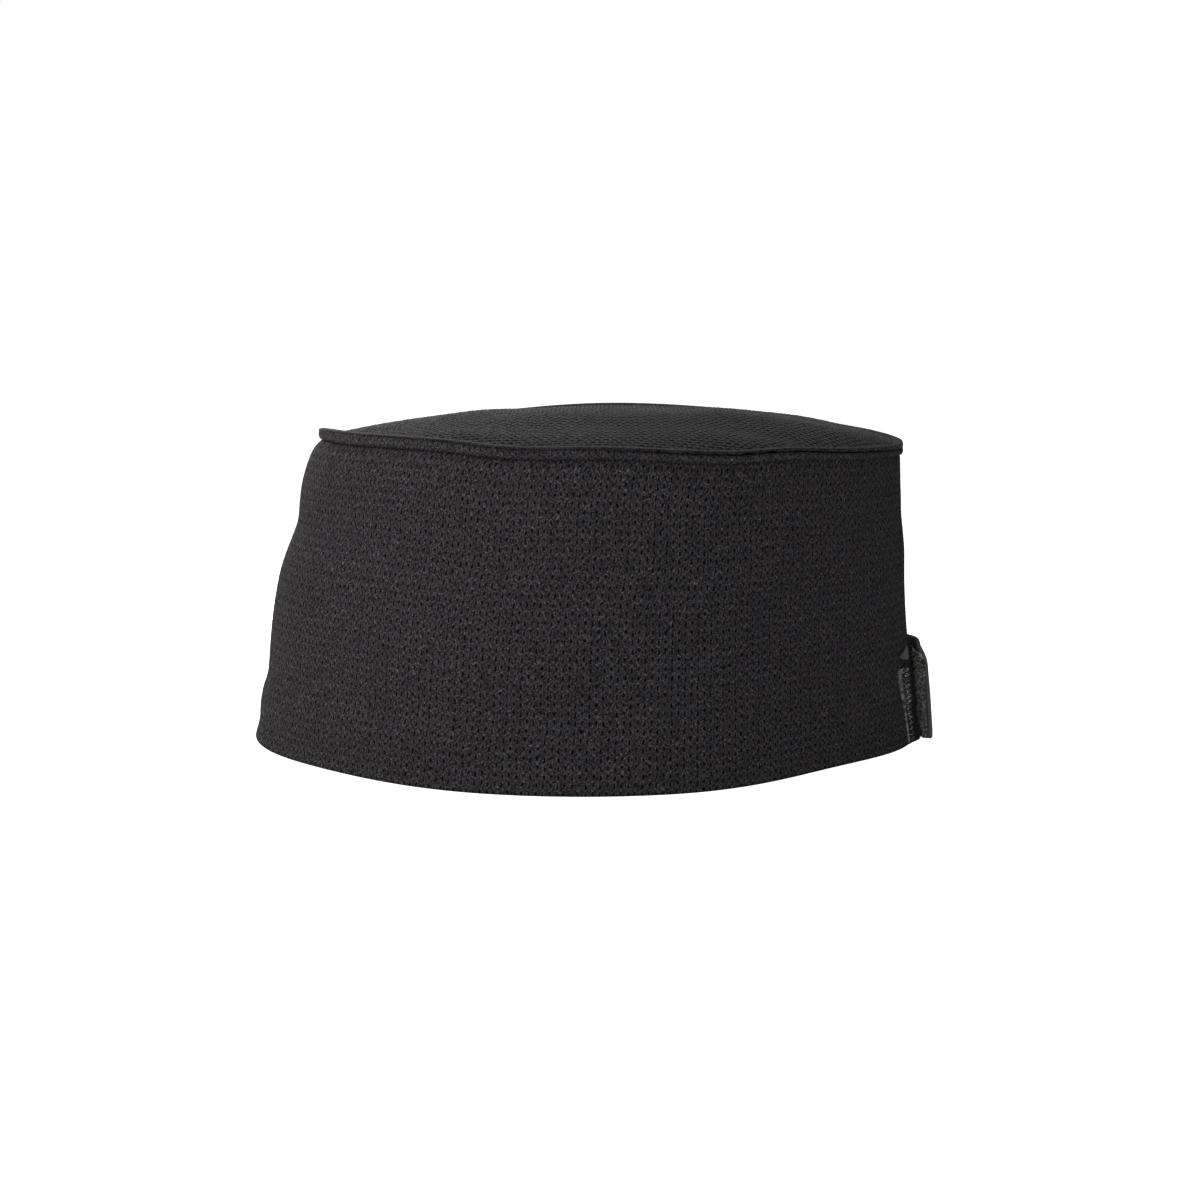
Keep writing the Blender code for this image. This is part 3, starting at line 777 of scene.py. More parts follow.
def bandFaces(outer, inner, inColumns):
    # quads over both sides of the band, then faces that join the two at the seam, the rim and the slit
    (rows, columns), (inRows, inCount) = outer.shape[:2], inner.shape[:2]
    outerAt = np.arange(rows * columns).reshape(rows, columns)
    innerAt = rows * columns + np.arange(inRows * inCount).reshape(inRows, inCount)
    faces = gridFaces(rows, columns) + gridFaces(inRows, inCount, rows * columns)
    for i in range(inCount - 1):
        run = slice(inColumns[i], inColumns[i + 1] + 1)
        faces.append([*outerAt[-1, run], innerAt[0, i + 1], innerAt[0, i]])
        faces.append([*outerAt[0, run][::-1], *innerAt[-1, i:i + 2]])
    for side, direction in ((0, -1), (-1, 1)):
        fold = [at[points[:, side, 2] <= band["slitHeight"], side]
                for at, points in ((outerAt, outer), (innerAt, inner))]
        faces.append(np.concatenate(fold)[::direction].tolist())
    return faces


def buildBand(material):
    angles, run = arcAngles(band["measuredAt"])
    roundLength = run[-1]
    steps = band["wales"] * finePerWale
    # extra columns beside the slit, where its edges are folded round, and extra rows at the rim's fold
    edge = np.array([0.0, 0.12, 0.3, 0.6])
    wale = np.concatenate([edge, np.arange(1, steps), steps - edge[::-1]]) / finePerWale
    rimRows = np.array([0.0, 0.00008, 0.00028, 0.00055]) / sideHeight
    courseRows = np.arange(1, band["courses"] * finePerCourse + 1) / (band["courses"] * finePerCourse)
    share = np.concatenate([rimRows, courseRows])[:, None]
    slitTop = band["slitHeight"] / sideHeight
    closing = band["slitClose"] / sideHeight
    closed = ease((share - slitTop + closing) / closing)
    slit = band["slitWidth"] / 2 / roundLength * (1 - closed)
    fraction = slit + (1 - 2 * slit) * (wale / band["wales"])[None, :]
    angle = np.interp(fraction * roundLength, run, angles)
    edgeDistance = np.minimum(wale, band["wales"] - wale)[None, :] * roundLength / band["wales"]

    # the rim's fold, the quilting, the centre-back seam and the gathers under the crown's seam
    height = share * sideHeight
    rounding = cut["hemRound"]
    atRim = -rounding * (1 - np.sqrt(1 - np.clip(1 - height / rounding, 0, 1) ** 2))
    course = share * band["courses"]
    rimFade, seamFade, slitFade = band["fades"]
    fade = ease(height / rimFade) * ease((1 - share) / seamFade) * ease(edgeDistance / slitFade)
    dip = -band["seamDip"] * hump(edgeDistance, band["seamWidth"]) * mix(band["shallowDip"], 1, closed)
    gathers = rollNoise(len(wale), 3, range(30, 75, 3))[None, :] * hump(1 - share, band["gatherReach"])
    tuck = -band["tuck"] * hump(1 - share, band["tuckReach"])
    outward = atRim + band["relief"] * quilting(wale, course) * fade + dip + band["gather"] * gathers + tuck
    outer = wallPoints(angle, share, outward)

    # the lower roll of the seam, a little uneven where its stitches pull
    topAngle = angle[-1]
    pull = stitchPull(len(wale), 5, range(90, 200, 7))
    rollHeight = ridgeHeight(topAngle) * lowShare(topAngle)
    below, above = band["rollTurn"]
    roll, rollCourses = [], []
    rollCourse = course[-1, 0]
    for reach, rise in rollSection(-math.radians(below), pressedEnd(above, topAngle), band, topAngle):
        outward = reach * cut["rollReach"] * reachShare(topAngle) * pull + dip[-1] * band["shallowDip"]
        ring = wallPoints(topAngle, 1, outward)
        ring[:, 2] += rise * rollHeight
        if roll:
            rollCourse = rollCourse + np.median(np.linalg.norm(ring - roll[-1], axis=1)) / band["rollCourse"]
            knitting = quilting(wale, rollCourse) * band["relief"] * band["rollRelief"]
            ring = ring + wallNormals(topAngle, 1) * knitting[:, None]
        roll.append(ring)
        rollCourses.append(rollCourse)
    outer = np.concatenate([outer, np.array(roll)])

    # the inside, coarser, thicker where the hem is turned up and ridged along the hem's edge
    inColumns = [0, *range(len(edge), len(wale) - len(edge), band["coarse"]), len(wale) - 1]
    hem = cut["hemHeight"] / sideHeight
    hemEdge = band["hemEdge"]
    inShare = np.concatenate([
        np.linspace(1, hem + 0.03, 16), hem + np.array([0.012, hemEdge, 0, -hemEdge, -0.012]),
        np.linspace(hem - 0.03, 0.02, 5), [0.006, 0.0],
    ])
    inAngle = np.interp((wale[inColumns] / band["wales"]) * roundLength, run, angles)
    inAngle = np.broadcast_to(inAngle, (len(inShare), len(inColumns))).copy()
    for side, row in ((0, 0), (-1, -1)):
        inAngle[:, side] = np.interp(inShare, share[:, 0], angle[:, row])
    rows = np.broadcast_to(inShare[:, None], inAngle.shape)
    inHem = ease((hem + hemEdge - rows) / (2 * hemEdge))
    thickness = mix(cut["cloth"], cut["hemThickness"], inHem)
    thickness = thickness + band["hemRidge"] * hump(rows - hem + 0.006, 0.010)
    thickness = thickness - band["rimThinning"] * hump(rows, 0.006)
    normals = wallNormals(inAngle, rows)
    normals[..., 2] *= 1 - inHem
    inner = wallPoints(inAngle, rows) - unit(normals) * thickness[..., None]
    inner[0, :, 2] = outer[-1][inColumns][:, 2]
    points = np.concatenate([outer.reshape(-1, 3), inner.reshape(-1, 3)])
    allCourses = np.concatenate([course[:, 0], rollCourses])
    outerMap = np.stack(np.broadcast_arrays(wale[None, :], allCourses[:, None]), -1)
    inCourses = (inShare * band["courses"])[:, None]
    innerMap = np.stack(np.broadcast_arrays(wale[inColumns][None, :], inCourses), -1)
    clothMap = np.concatenate([outerMap.reshape(-1, 2), innerMap.reshape(-1, 2)])
    folded = np.zeros(len(points))
    folded[(len(outer) - len(roll)) * len(wale):len(outer) * len(wale)] = 1
    return addPiece("sideBand", points, bandFaces(outer, inner, inColumns), material, clothMap, folded)


crown = {
    "columns": 480,            # round the crown
    "rings": 88,
    "edgeRings": 16,           # more of them, close together beside the ridge
    "waleWidth": 0.00210,      # the knit's own size, wales running front to back
    "courseHeight": 0.00245,
    "relief": 0.00022,
    "reliefFade": 0.06,
    "underColumns": 96,
    "underRings": (0.95, 0.87, 0.69, 0.48, 0.25),
    "foldFade": 8,             # how sharply the folds die away at the crown's edge
    "step": 0.0014,            # how far the crown lies under the ridge's top along it
    "frontStep": 2.0,          # and how many times more at the front
    "front": (278, 28),        # degrees round to there, and how wide it is
    "leftShoulder": 4.6,       # how full the crown's edge is on the wearer's left
    "rightShoulder": 2.4,
    "backShoulder": 0.6,       # and what is added at the back
    "back": (100, 20),
    "fullness": 0.0024,        # how much higher the crown is just inside its left edge
    "fullPlace": (0.022, 0.01),
    "fullSize": (0.042, 0.075),
    "rollTurn": (74, 88),      # degrees that the upper roll turns below and above the level
    "rollSteps": 9,
    "rollFoot": 0.15,
    "inside": ((-0.12, 0.99), (-0.38, 0.90), (-0.62, 0.66)),   # the upper roll's inner side
    "waves": 0.9,              # of the upper roll's edge, as a share of the gap under it
    "underDrop": 0.0002,
}


def crownFold(x, y):
    moved = 0.0
    halfWidth, halfLength = crownWidth / 2, crownLength / 2
    for foldLeft, foldBack, wide, long, direction, depth in crownFolds:
        turn = math.radians(direction)
        left = x - foldLeft * halfWidth
        back = y - middleY - crownSetBack - foldBack * halfLength
        along = left * math.cos(turn) + back * math.sin(turn)
        aside = back * math.cos(turn) - left * math.sin(turn)
        moved = moved + depth * hump(along, long * halfWidth) * hump(aside, wide * halfWidth)
    return cut["crownFold"] * moved


def crownPoints(angle, share):
    angle, share = np.broadcast_arrays(angle, share)
    edge = wallPoints(angle, 1)
    centreY = middleY + crownSetBack
    x = edge[..., 0] * share
    y = centreY + (edge[..., 1] - centreY) * share
    # flat on top with a rounded shoulder, fuller on the wearer's left, and a step down inside the ridge
    ends = crown["front"], crown["back"]
    atFront, atBack = (hump(halfTurn(angle - place), spread) for place, spread in ends)
    lip = edge[..., 2] + ridgeHeight(angle) - crown["step"] * mix(1, crown["frontStep"], atFront)
    shoulder = mix(crown["rightShoulder"], crown["leftShoulder"], 0.5 + 0.5 * np.cos(np.radians(angle)))
    shoulder = shoulder + crown["backShoulder"] * atBack
    fullX, fullY = crown["fullPlace"]
    fullWidth, fullLength = crown["fullSize"]
    fullness = crown["fullness"] * hump(x - fullX, fullWidth) * hump(y - centreY - fullY, fullLength)
    z = mix(sideHeight + cut["crownRise"] + fullness, lip, share ** shoulder)
    z = z + crownFold(x, y) * (1 - share ** crown["foldFade"])
    return np.stack([x, y, z], -1)


def buildCrown(material):
    count = crown["columns"]
    angle = 90 + 360 * np.arange(count) / count
    share, edgeShare = np.linspace(0.012, 0.90, crown["rings"]), np.linspace(0.906, 0.972, crown["edgeRings"])
    share = np.concatenate([share, edgeShare])[:, None]
    upper = crownPoints(angle[None, :], share)
    wale, course = upper[..., 0] / crown["waleWidth"], upper[..., 1] / crown["courseHeight"]
    upper[..., 2] += crown["relief"] * quilting(wale, course) * ease((1 - share) / crown["reliefFade"])
    pull = stitchPull(count + 1, 15, range(80, 190, 7))[:-1]
    # the upper roll lies on the lower one, and its edge lifts in small waves where the two part
    height = ridgeHeight(angle)
    gap = ridgeGap(angle) * 0.001
    waves = np.clip(rollNoise(count + 1, 21, range(60, 110, 3))[:-1], -0.3, 2) * gap * crown["waves"]
    foot = height * lowShare(angle) + gap + waves
    rollHeight = height - height * lowShare(angle) - gap
    below, above = crown["rollTurn"]
    section = rollSection(-pressedEnd(below, angle), math.radians(above), crown, angle)
    roll, drops = [], []
    for reach, rise in [*section, *crown["inside"]]:
        uneven = reachShare(angle) * upperReach(angle) * pull if np.all(reach > 0) else 1
        ring = wallPoints(angle, 1, reach * cut["rollReach"] * uneven)
        ring[:, 2] += foot + rise * rollHeight - waves * rise
        drops.append(np.median(np.linalg.norm(ring - roll[-1], axis=1)) if roll else 0)
        roll.append(ring)
    rings = np.concatenate([upper, np.array(roll)[::-1]])
    ringCount = len(rings)
    # the underside, coarser
    underCount = crown["underColumns"]
    ratio = count // underCount
    underAngle = angle[::ratio]
    under = crownPoints(underAngle[None, :], np.array(crown["underRings"])[:, None])
    under[..., 2] -= cut["cloth"]
    edgeRing = wallPoints(underAngle, 1, -cut["cloth"])
    edgeRing[:, 2] += foot[::ratio] - crown["underDrop"]
    under = np.concatenate([edgeRing[None], under])
    middle = crownPoints(0, 0)
    poles = np.array([middle, middle - [0, 0, cut["cloth"]]])
    points = np.concatenate([rings.reshape(-1, 3), under.reshape(-1, 3), poles])
    underStart = ringCount * count
    faces = gridFaces(ringCount, count, closed=True, flip=True)
    faces += gridFaces(len(under), underCount, underStart, closed=True, flip=True)
    lastRing = [(ringCount - 1) * count + i % count for i in range(count + 1)]
    firstUnder = [underStart + i % underCount for i in range(underCount + 1)]
    faces += stitchFaces(lastRing, firstUnder, ratio)
    upperPole, underPole = len(points) - 2, len(points) - 1
    innerRing = underStart + (len(under) - 1) * underCount
    faces += [[upperPole, i, (i + 1) % count] for i in range(count)]
    faces += [[underPole, innerRing + (i + 1) % underCount, innerRing + i] for i in range(underCount)]
    # down the roll the knit runs on, so that it isn't smeared there
    drop = np.zeros(len(points))
    drops = np.array(drops[1:][::-1]).cumsum()
    drop[:underStart] = np.repeat(np.concatenate([np.zeros(len(upper) + 1), drops]), count)
    knitSize = np.array([crown["waleWidth"], crown["courseHeight"]])
    outwards = unit(points[:, :2] - [0, middleY + crownSetBack])
    clothMap = points[:, :2] / knitSize + outwards * drop[:, None] / knitSize
    folded = np.zeros(len(points))
    folded[len(upper) * count:underStart] = 1
    return addPiece("crownTop", points, faces, material, clothMap, folded)


ridgeThreadLook = {
    "pitch": 0.0011,           # of the small waves in which it runs over the upper roll's inner edge
    "swing": 0.00028,
    "uneven": 0.35,            # as a share of the swing
    "inset": 0.00028,
    "sunk": 0.00006,
    "lift": 0.00004,
    "radius": 0.00013,
    "steps": 6,                # points in each wave
}


def buildRidgeThread(material):
    # the looping thread that edges the crown's seam, where its upper roll turns inward; its lighter patches
    # are partly painted highlight on the roll's top edge
    look = ridgeThreadLook
    start = wallPoints(allRound, 1)
    around = np.linalg.norm(np.diff(start, axis=0, append=start[:1]), axis=1).sum()
    waves = int(around / look["pitch"])
    count = waves * look["steps"]
    angle = 90 + 360 * np.arange(count + 1) / count
    turn = 2 * math.pi * waves * np.arange(count + 1) / count
    chance = rollNoise(count + 1, 41, range(200, 420, 11))
    out = -look["inset"] + look["swing"] * (np.sin(turn) + look["uneven"] * chance)
    path = wallPoints(angle, 1, out)
    path[:, 2] += ridgeHeight(angle) + look["lift"] * np.sin(2 * turn) - look["sunk"]
    return threadTubes("ridgeThread", path[None], look["radius"], material, 4)


# The closure at the back: the hook tape, the strap across the slit and the pile on its curled end
strapBelow = 0.0004            # how far the strap hangs below its solid
closure = {
    "bottom": tabLow.z - strapBelow,
    "hookHeight": hookHigh.z - hookLow.z,
    "strapHeight": tabHigh.z - tabLow.z + strapBelow,
    "gap": 0.0003,
    "hookNearEdge": 0.0200,    # where the hook tape's forward edge lies, to the wearer's left
    "hookLean": 0.0045,        # and how much further out it is at its top
    "hookCorner": 0.0045,      # its upper corner is folded away over this length
    "hookThickness": 0.00095,
    "strapThickness": 0.0014,
    "pileThickness": 0.0010,
    "strapRoot": 0.032,        # how far the strap reaches over the other side
    "ramp": 0.008,             # over this length it climbs on to the hook tape
    "corner": 0.0076,          # the rounding of its upper corner
    "cornerLength": 0.009,
    "footCorner": 0.0008,      # and of its lower one
    "footCornerLength": 0.0016,
    "curlStart": 0.0045,
    "curlLength": 0.0070,
    "pileLength": 0.0130,
    "pileTop": 0.9,            # the pile's height as a share of the strap's
}
strapTip = closure["curlStart"] + closure["curlLength"]

# height as a share of the strap's, and how many degrees its end has curled there
strapCurl = (
    (0.00, 40),
    (0.12, 54),
    (0.20, 55),
    (0.30, 56),
    (0.40, 58),
    (0.50, 63),
    (0.60, 69),
    (0.75, 75),
    (0.85, 74),
    (1.00, 66),
)
curledAt = smoothCurve(strapCurl, 1)


def offTheBack(x, z, outward):
    # points this far out from the band's back at these x and z, found by halving a range of angles,
    # and the level directions along the band there and out from it
    x, z, outward = np.broadcast_arrays(x, z, outward)
    low, high = np.full(x.shape, 30.0), np.full(x.shape, 150.0)
    for _ in range(22):
        angle = (low + high) / 2
        share = (z - rimLift(angle)) / (seamHeight(angle) - rimLift(angle))
        beyond = wallPoints(angle, share)[..., 0] > x
        low, high = np.where(beyond, angle, low), np.where(beyond, high, angle)
    normal = unit(wallNormals(angle, share) * (1, 1, 0))
    along = np.stack([normal[..., 1], -normal[..., 0], 0 * x], -1)
    return wallPoints(angle, share) + normal * outward[..., None], along, normal


def strapPoints(travel, z, depth):
    # travel is x along the back as far as the curl, and then the length along it;
    # depth is measured from the pile's face towards the strap's outer side
    travel, z, depth = np.broadcast_arrays(travel, z, depth)
    pileLift = closure["hookThickness"] + closure["gap"] / 2
    strapDepth = closure["pileThickness"] + closure["gap"]
    down = ease((-travel - band["slitWidth"]) / closure["ramp"])
    lift = mix(pileLift, closure["gap"] - strapDepth, down)
    flat = offTheBack(np.minimum(travel, closure["curlStart"]), z, lift + depth)[0]
    start, along, normal = offTheBack(closure["curlStart"], z, pileLift)
    fullTurn = np.radians(curledAt((z - closure["bottom"]) / closure["strapHeight"]))
    radius = closure["curlLength"] / fullTurn
    turn = (fullTurn * (travel - closure["curlStart"]) / closure["curlLength"])[..., None]
    curled = start + normal * radius[..., None]
    curled = curled + (along * np.sin(turn) - normal * np.cos(turn)) * (radius - depth)[..., None]
    return np.where(travel[..., None] > closure["curlStart"], curled, flat)


def cornerRounding(travel, size, length):
    # how far a corner has rounded off on the way to the strap's tip
    nearTip = np.clip(1 - (strapTip - travel) / length, 0, 1)
    return size * (1 - np.sqrt(1 - nearTip ** 2))


def strapTop(travel):
    rounded = cornerRounding(travel, closure["corner"], closure["cornerLength"])
    return closure["bottom"] + closure["strapHeight"] - rounded


def strapFoot(travel):
    return closure["bottom"] + cornerRounding(travel, closure["footCorner"], closure["footCornerLength"])


def edgeSteps(length, rounding, count):
    # places along a piece, close together at its two rounded ends
    ends = rounding * (1 - np.cos(np.linspace(0, math.pi / 2, 5)))
    return np.concatenate([ends, np.linspace(rounding, length - rounding, count)[1:-1], length - ends[::-1]])


def clothSlab(name, place, size, thickness, material, counts, cell, dips=None):
    # a strip of cloth with soft edges; place(across, up, depth) gives its points, across and up in metres,
    # counts its columns and rows, and cell the width of two threads of its weave
    rounding = thickness * 0.55
    width, height = size
    across = edgeSteps(width, rounding, counts[0])[None, :]
    up = edgeSteps(height, rounding, counts[1])[:, None]

    def plump(distance):
        return np.sqrt(1 - np.clip(1 - distance / rounding, 0, 1) ** 2)

    half = thickness / 2 * plump(np.minimum(across, width - across)) * plump(np.minimum(up, height - up))
    dip = dips(across, up) if dips else 0
    near = place(across, up, thickness / 2 - half)
    far = place(across, up, thickness / 2 + half - dip)
    rowCount, columnCount = half.shape
    points = np.concatenate([near.reshape(-1, 3), far.reshape(-1, 3)])
    clothMap = np.stack(np.broadcast_arrays(across, up), -1).reshape(-1, 2) / cell
    clothMap = np.concatenate([clothMap, clothMap + 7.3])    # the far side shows another stretch of the weave
    faces = gridFaces(rowCount, columnCount, flip=True)
    faces += gridFaces(rowCount, columnCount, rowCount * columnCount)
    piece = addPiece(name, points, faces, material, clothMap)
    soft = bmesh.new()
    soft.from_mesh(piece.data)
    bmesh.ops.remove_doubles(soft, verts=soft.verts, dist=1e-6)
    bmesh.ops.recalc_face_normals(soft, faces=soft.faces)
    soft.to_mesh(piece.data)
    soft.free()
    return piece


def threadTubes(name, paths, radius, material, sides=5, up=(0, 0, 1)):
    # many short lengths of thread or filament at once; paths is count x steps x 3
    paths = np.asarray(paths, float)
    count, steps = paths.shape[:2]
    tangent = unit(np.gradient(paths, axis=1))
    reference = np.broadcast_to(np.asarray(up, float), (count, 3))[:, None, :]
    sideways = np.cross(tangent, reference)
    endOn = np.linalg.norm(sideways, axis=-1, keepdims=True) < 0.05
    sideways = unit(np.where(endOn, np.cross(tangent, np.array([1.0, 0.1, 0])), sideways))
    upward = np.cross(sideways, tangent)
    turn = np.arange(sides) * 2 * math.pi / sides
    ring = np.cos(turn)[:, None] * sideways[:, :, None] + np.sin(turn)[:, None] * upward[:, :, None]
    points = paths[:, :, None] + radius * ring
    each = np.array(gridFaces(steps, sides, closed=True, flip=True))
    faces = (each[None] + (np.arange(count) * steps * sides)[:, None, None]).reshape(-1, 4).tolist()
    for i in range(count):
        first = i * steps * sides
        faces.append(list(range(first, first + sides)))
        faces.append(list(range(first + steps * sides - 1, first + (steps - 1) * sides - 1, -1)))
    return addPiece(name, points, faces, material)


hookLook = {
    "rowPitch": 0.00083,       # between rows of hooks
    "columnPitch": 0.0017,
    "scatter": 0.00005,        # how far the hooks stray from their rows
    "selvedge": 0.0013,        # bare edges of the tape
    "beadPitch": 0.0009,       # of the beads along those edges
    "beadRise": 0.00025,
    "bodyThickness": 0.00055,
    "hookRise": 0.00080,
    "hookRadius": 0.00015,
    "hookStart": 0.0050,       # the hooks begin this far from the slit
    "wornRise": 0.4,           # worn flat there to this share of their height,
    "hookSpread": 0.005,       # and rise to their full height over this distance
    "bendAcross": 0.0002,      # how far a hook leans and bends over
    "bendUp": 0.00046,
    "shadedToX": 0.0168,        # the hooks nearer the slit are painted dark, as shade under the strap's curl
    "standOff": 0.0017,        # its lower end bulges this far off the band
    "bulgeX": 0.0118,
    "bulgeSize": 0.005,
    "narrowing": 0.38,         # its edge is this much of its width and thickness lower down
    "narrowTop": 0.009,        # up to here
    "narrowFade": 0.006,
    "lowerLift": 0.0003,
    "stitchPitch": 0.00042,    # the stitches over its edges
    "stitchWidth": 0.0010,
    "stitchRadius": 0.00017,
}

# a hook rises, bends over and comes back down a little: how far over, and how high
hookBend = ((0, 0), (0.03, 0.35), (0.12, 0.68), (0.32, 0.92), (0.58, 1.00), (0.80, 0.86), (0.86, 0.66))

# a stitch wraps the tape's edge: how far in from it, and how high above the tape's near face
edgeWrap = ((-0.06, -0.9), (-0.10, 0.3), (0.05, 1.15), (0.35, 1.25), (0.75, 1.15), (1.0, 0.7), (1.05, -0.2))


def hookPlace(across, up, depth):
    row = up / closure["hookHeight"]
    lean = closure["hookLean"] * ease(row)
    nearEdge = closure["hookNearEdge"] + lean - closure["hookCorner"] * ease((row - 0.9) / 0.1) ** 2
    left = band["slitWidth"]
    x = left + (nearEdge - left) * across / (closure["hookNearEdge"] - left)
    bulge = hump(up, hookLook["bulgeSize"]) * hump(x - hookLook["bulgeX"], hookLook["bulgeSize"])
    lift = closure["gap"] / 3 + hookLook["standOff"] * bulge
    return offTheBack(x, hookLow.z + up + hookLook["lowerLift"] * (1 - row), lift + depth)[0]


def hookThinning(up):
    return mix(hookLook["narrowing"], 1, ease((up - hookLook["narrowTop"]) / hookLook["narrowFade"]))


def buildHookTape(tapeCloth, hookPlastic, edgeThread):
    width = closure["hookNearEdge"] - band["slitWidth"]
    height = closure["hookHeight"]
    selvedge = hookLook["selvedge"]
    body = hookLook["bodyThickness"]

    def edges(across, up):
        # thicker selvedges with small beads, like its woven edge
        fromSide = np.minimum(across, width - across)
        bead = 0.5 + 0.5 * np.cos(up * 2 * math.pi / hookLook["beadPitch"])
        rise = hookLook["beadRise"] * ease((selvedge - fromSide) / 0.0004)
        return -rise * (0.6 + 0.4 * bead) * ease(fromSide / 0.0003)

    def thinPlace(across, up, depth):
        return hookPlace(across, up, depth * hookThinning(up))

    tape = clothSlab("hookTapeBody", thinPlace, (width, height), body, tapeCloth, (60, 120), 0.0006, edges)
    rows = np.arange(0.0011, height - 0.0009, hookLook["rowPitch"])
    columns = np.arange(width - selvedge - 0.0003, hookLook["hookStart"], -hookLook["columnPitch"])
    chance = np.random.default_rng(8)
    up, across = np.meshgrid(rows, columns, indexing="ij")
    odd = (np.arange(len(rows)) % 2)[:, None]
    across = across - odd * hookLook["columnPitch"] / 2
    across = (across + chance.normal(0, hookLook["scatter"], up.shape)).ravel()
    up = (up + chance.normal(0, hookLook["scatter"], up.shape)).ravel()
    facing = (1.0 - 2.0 * odd).repeat(len(columns), 1).ravel()
    worn = ease((across - hookLook["hookStart"]) / hookLook["hookSpread"])
    hookRise = hookLook["hookRise"] * mix(hookLook["wornRise"], 1, worn)
    paths = []
    for aside, rise in hookBend:
        over = aside * facing * hookLook["bendUp"]
        depth = body * 0.8 * hookThinning(up) + hookRise * rise
        paths.append(hookPlace(across + aside * hookLook["bendAcross"], up + over, depth))
    hooks = threadTubes("hookTapeHooks", np.stack(paths, 1), hookLook["hookRadius"], hookPlastic, 6)
    # slanted stitches wrap both edges of the tape
    starts = np.arange(0.0006, height - 0.0010, hookLook["stitchPitch"])
    span = hookLook["stitchWidth"] * hookThinning(starts)
    paths = []
    for aside, rise in edgeWrap:
        slant = hookLook["stitchPitch"] * 0.9 * aside
        depth = body * rise * hookThinning(starts)
        sides = [hookPlace(place, starts + slant, depth) for place in (width - span * aside, span * aside)]
        paths.append(np.concatenate(sides))
    stitches = threadTubes("hookTapeStitching", np.stack(paths, 1), hookLook["stitchRadius"], edgeThread)
    return tape, hooks, stitches


tapeEnd = {
    "width": 0.0074,           # the hook tape's folded end, standing off above it
    "height": 0.0044,
    "fromX": 0.0228,
    "thickness": 0.0005,
    "standOff": 0.0001,
    "bow": 0.0002,             # how far its middle bows out
    "tipRise": 0.0016,         # how far above the tape its tip points
    "rise": 0.0007,            # how far above the tape its other end is
}


def buildTapeEnd(tapeCloth):
    # a limp corner of tape, close to the wall at its forward point and standing off towards the slit
    def place(across, up, depth):
        along, rise = across / tapeEnd["width"], up / tapeEnd["height"]
        foot = hookHigh.z + tapeEnd["tipRise"] * (1 - along) ** 1.4 + tapeEnd["rise"]
        z = foot + up * mix(0.10, 1.0, along ** 0.8)
        lift = closure["gap"] + tapeEnd["standOff"] * ease(along * 1.3) * mix(1, 0.5, rise)
        lift = lift + tapeEnd["bow"] * np.sin(rise * math.pi)
        return offTheBack(tapeEnd["fromX"] - across, z, lift + depth)[0]

    size = tapeEnd["width"], tapeEnd["height"]
    return clothSlab("hookTapeEnd", place, size, tapeEnd["thickness"], tapeCloth, (30, 20), 0.0005)


strapStitch = {
    "inset": 0.0022,           # from the strap's edges
    "rootEnd": 0.0200,         # where the stitched square ends
    "pitch": 0.0026,
    "length": 0.0021,
    "radius": 0.00016,
    "groove": 0.00016,         # depth and width of the groove that it pulls
    "grooveWidth": 0.0005,
    "sunk": 0.0001,
}
strapWidth = closure["strapRoot"] + strapTip

# one stitch, diving into the cloth at both ends: share of its length, and height in radii
stitchArch = ((0, -1.6), (0.08, 0.1), (0.25, 0.8), (0.5, 1.0), (0.75, 0.8), (0.92, 0.1), (1.0, -1.6))


def strapPlace(across, up, depth):
    # across runs from the strap's root to its tip, depth from its inner face outward
    travel = across - closure["strapRoot"]
    z = mix(strapFoot(travel), strapTop(travel), up / closure["strapHeight"])
    return strapPoints(travel, z, closure["pileThickness"] + closure["gap"] + depth)


def buildStrap(strapCloth):
    height = closure["strapHeight"]

    def dips(across, up):
        # the stitching pulls a shallow groove along each edge and across the root
        fromEdge = np.minimum(np.minimum(across, strapWidth - across), np.minimum(up, height - up))
        alongEdge = hump(fromEdge - strapStitch["inset"], strapStitch["grooveWidth"])
        atRoot = hump(across - strapStitch["rootEnd"], strapStitch["grooveWidth"])
        return strapStitch["groove"] * np.maximum(alongEdge, atRoot)

    return clothSlab("closingStrap", strapPlace, (strapWidth, height), closure["strapThickness"], strapCloth,
                     (110, 70), 0.0008, dips)


def stitchPaths(place, line):
    # single stitches along a line of (across, up) points
    line = np.asarray(line, float)
    shares, lifts = np.array(stitchArch).T
    run = np.concatenate([[0], np.linalg.norm(np.diff(line, axis=0), axis=1).cumsum()])
    starts = np.arange(strapStitch["pitch"] * 0.3, run[-1] - strapStitch["length"], strapStitch["pitch"])
    at = starts[:, None] + shares[None, :] * strapStitch["length"]
    lift = lifts[None, :] * strapStitch["radius"]
    return place(np.interp(at, run, line[:, 0]), np.interp(at, run, line[:, 1]), lift)


def buildStrapStitching(thread):
    # a line round the strap's edges, and a square with a cross in it at its root
    inset, end = strapStitch["inset"], strapStitch["rootEnd"]
    tip, top = strapWidth - inset, closure["strapHeight"] - inset

    def outerFace(across, up, lift):
        return strapPlace(across, up, closure["strapThickness"] + lift - strapStitch["sunk"])

    lines = (
        ((inset, inset), (tip, inset)),
        ((inset, top), (tip, top)),
        ((inset, inset), (inset, top)),
        ((end, inset), (end, top)),
        ((tip, inset), (tip, top)),
        ((inset, inset), (end, top)),
        ((inset, top), (end, inset)),
    )
    paths = np.concatenate([stitchPaths(outerFace, line) for line in lines])
    return threadTubes("strapStitching", paths, strapStitch["radius"], thread, 6, up=(0, 1, 0.2))


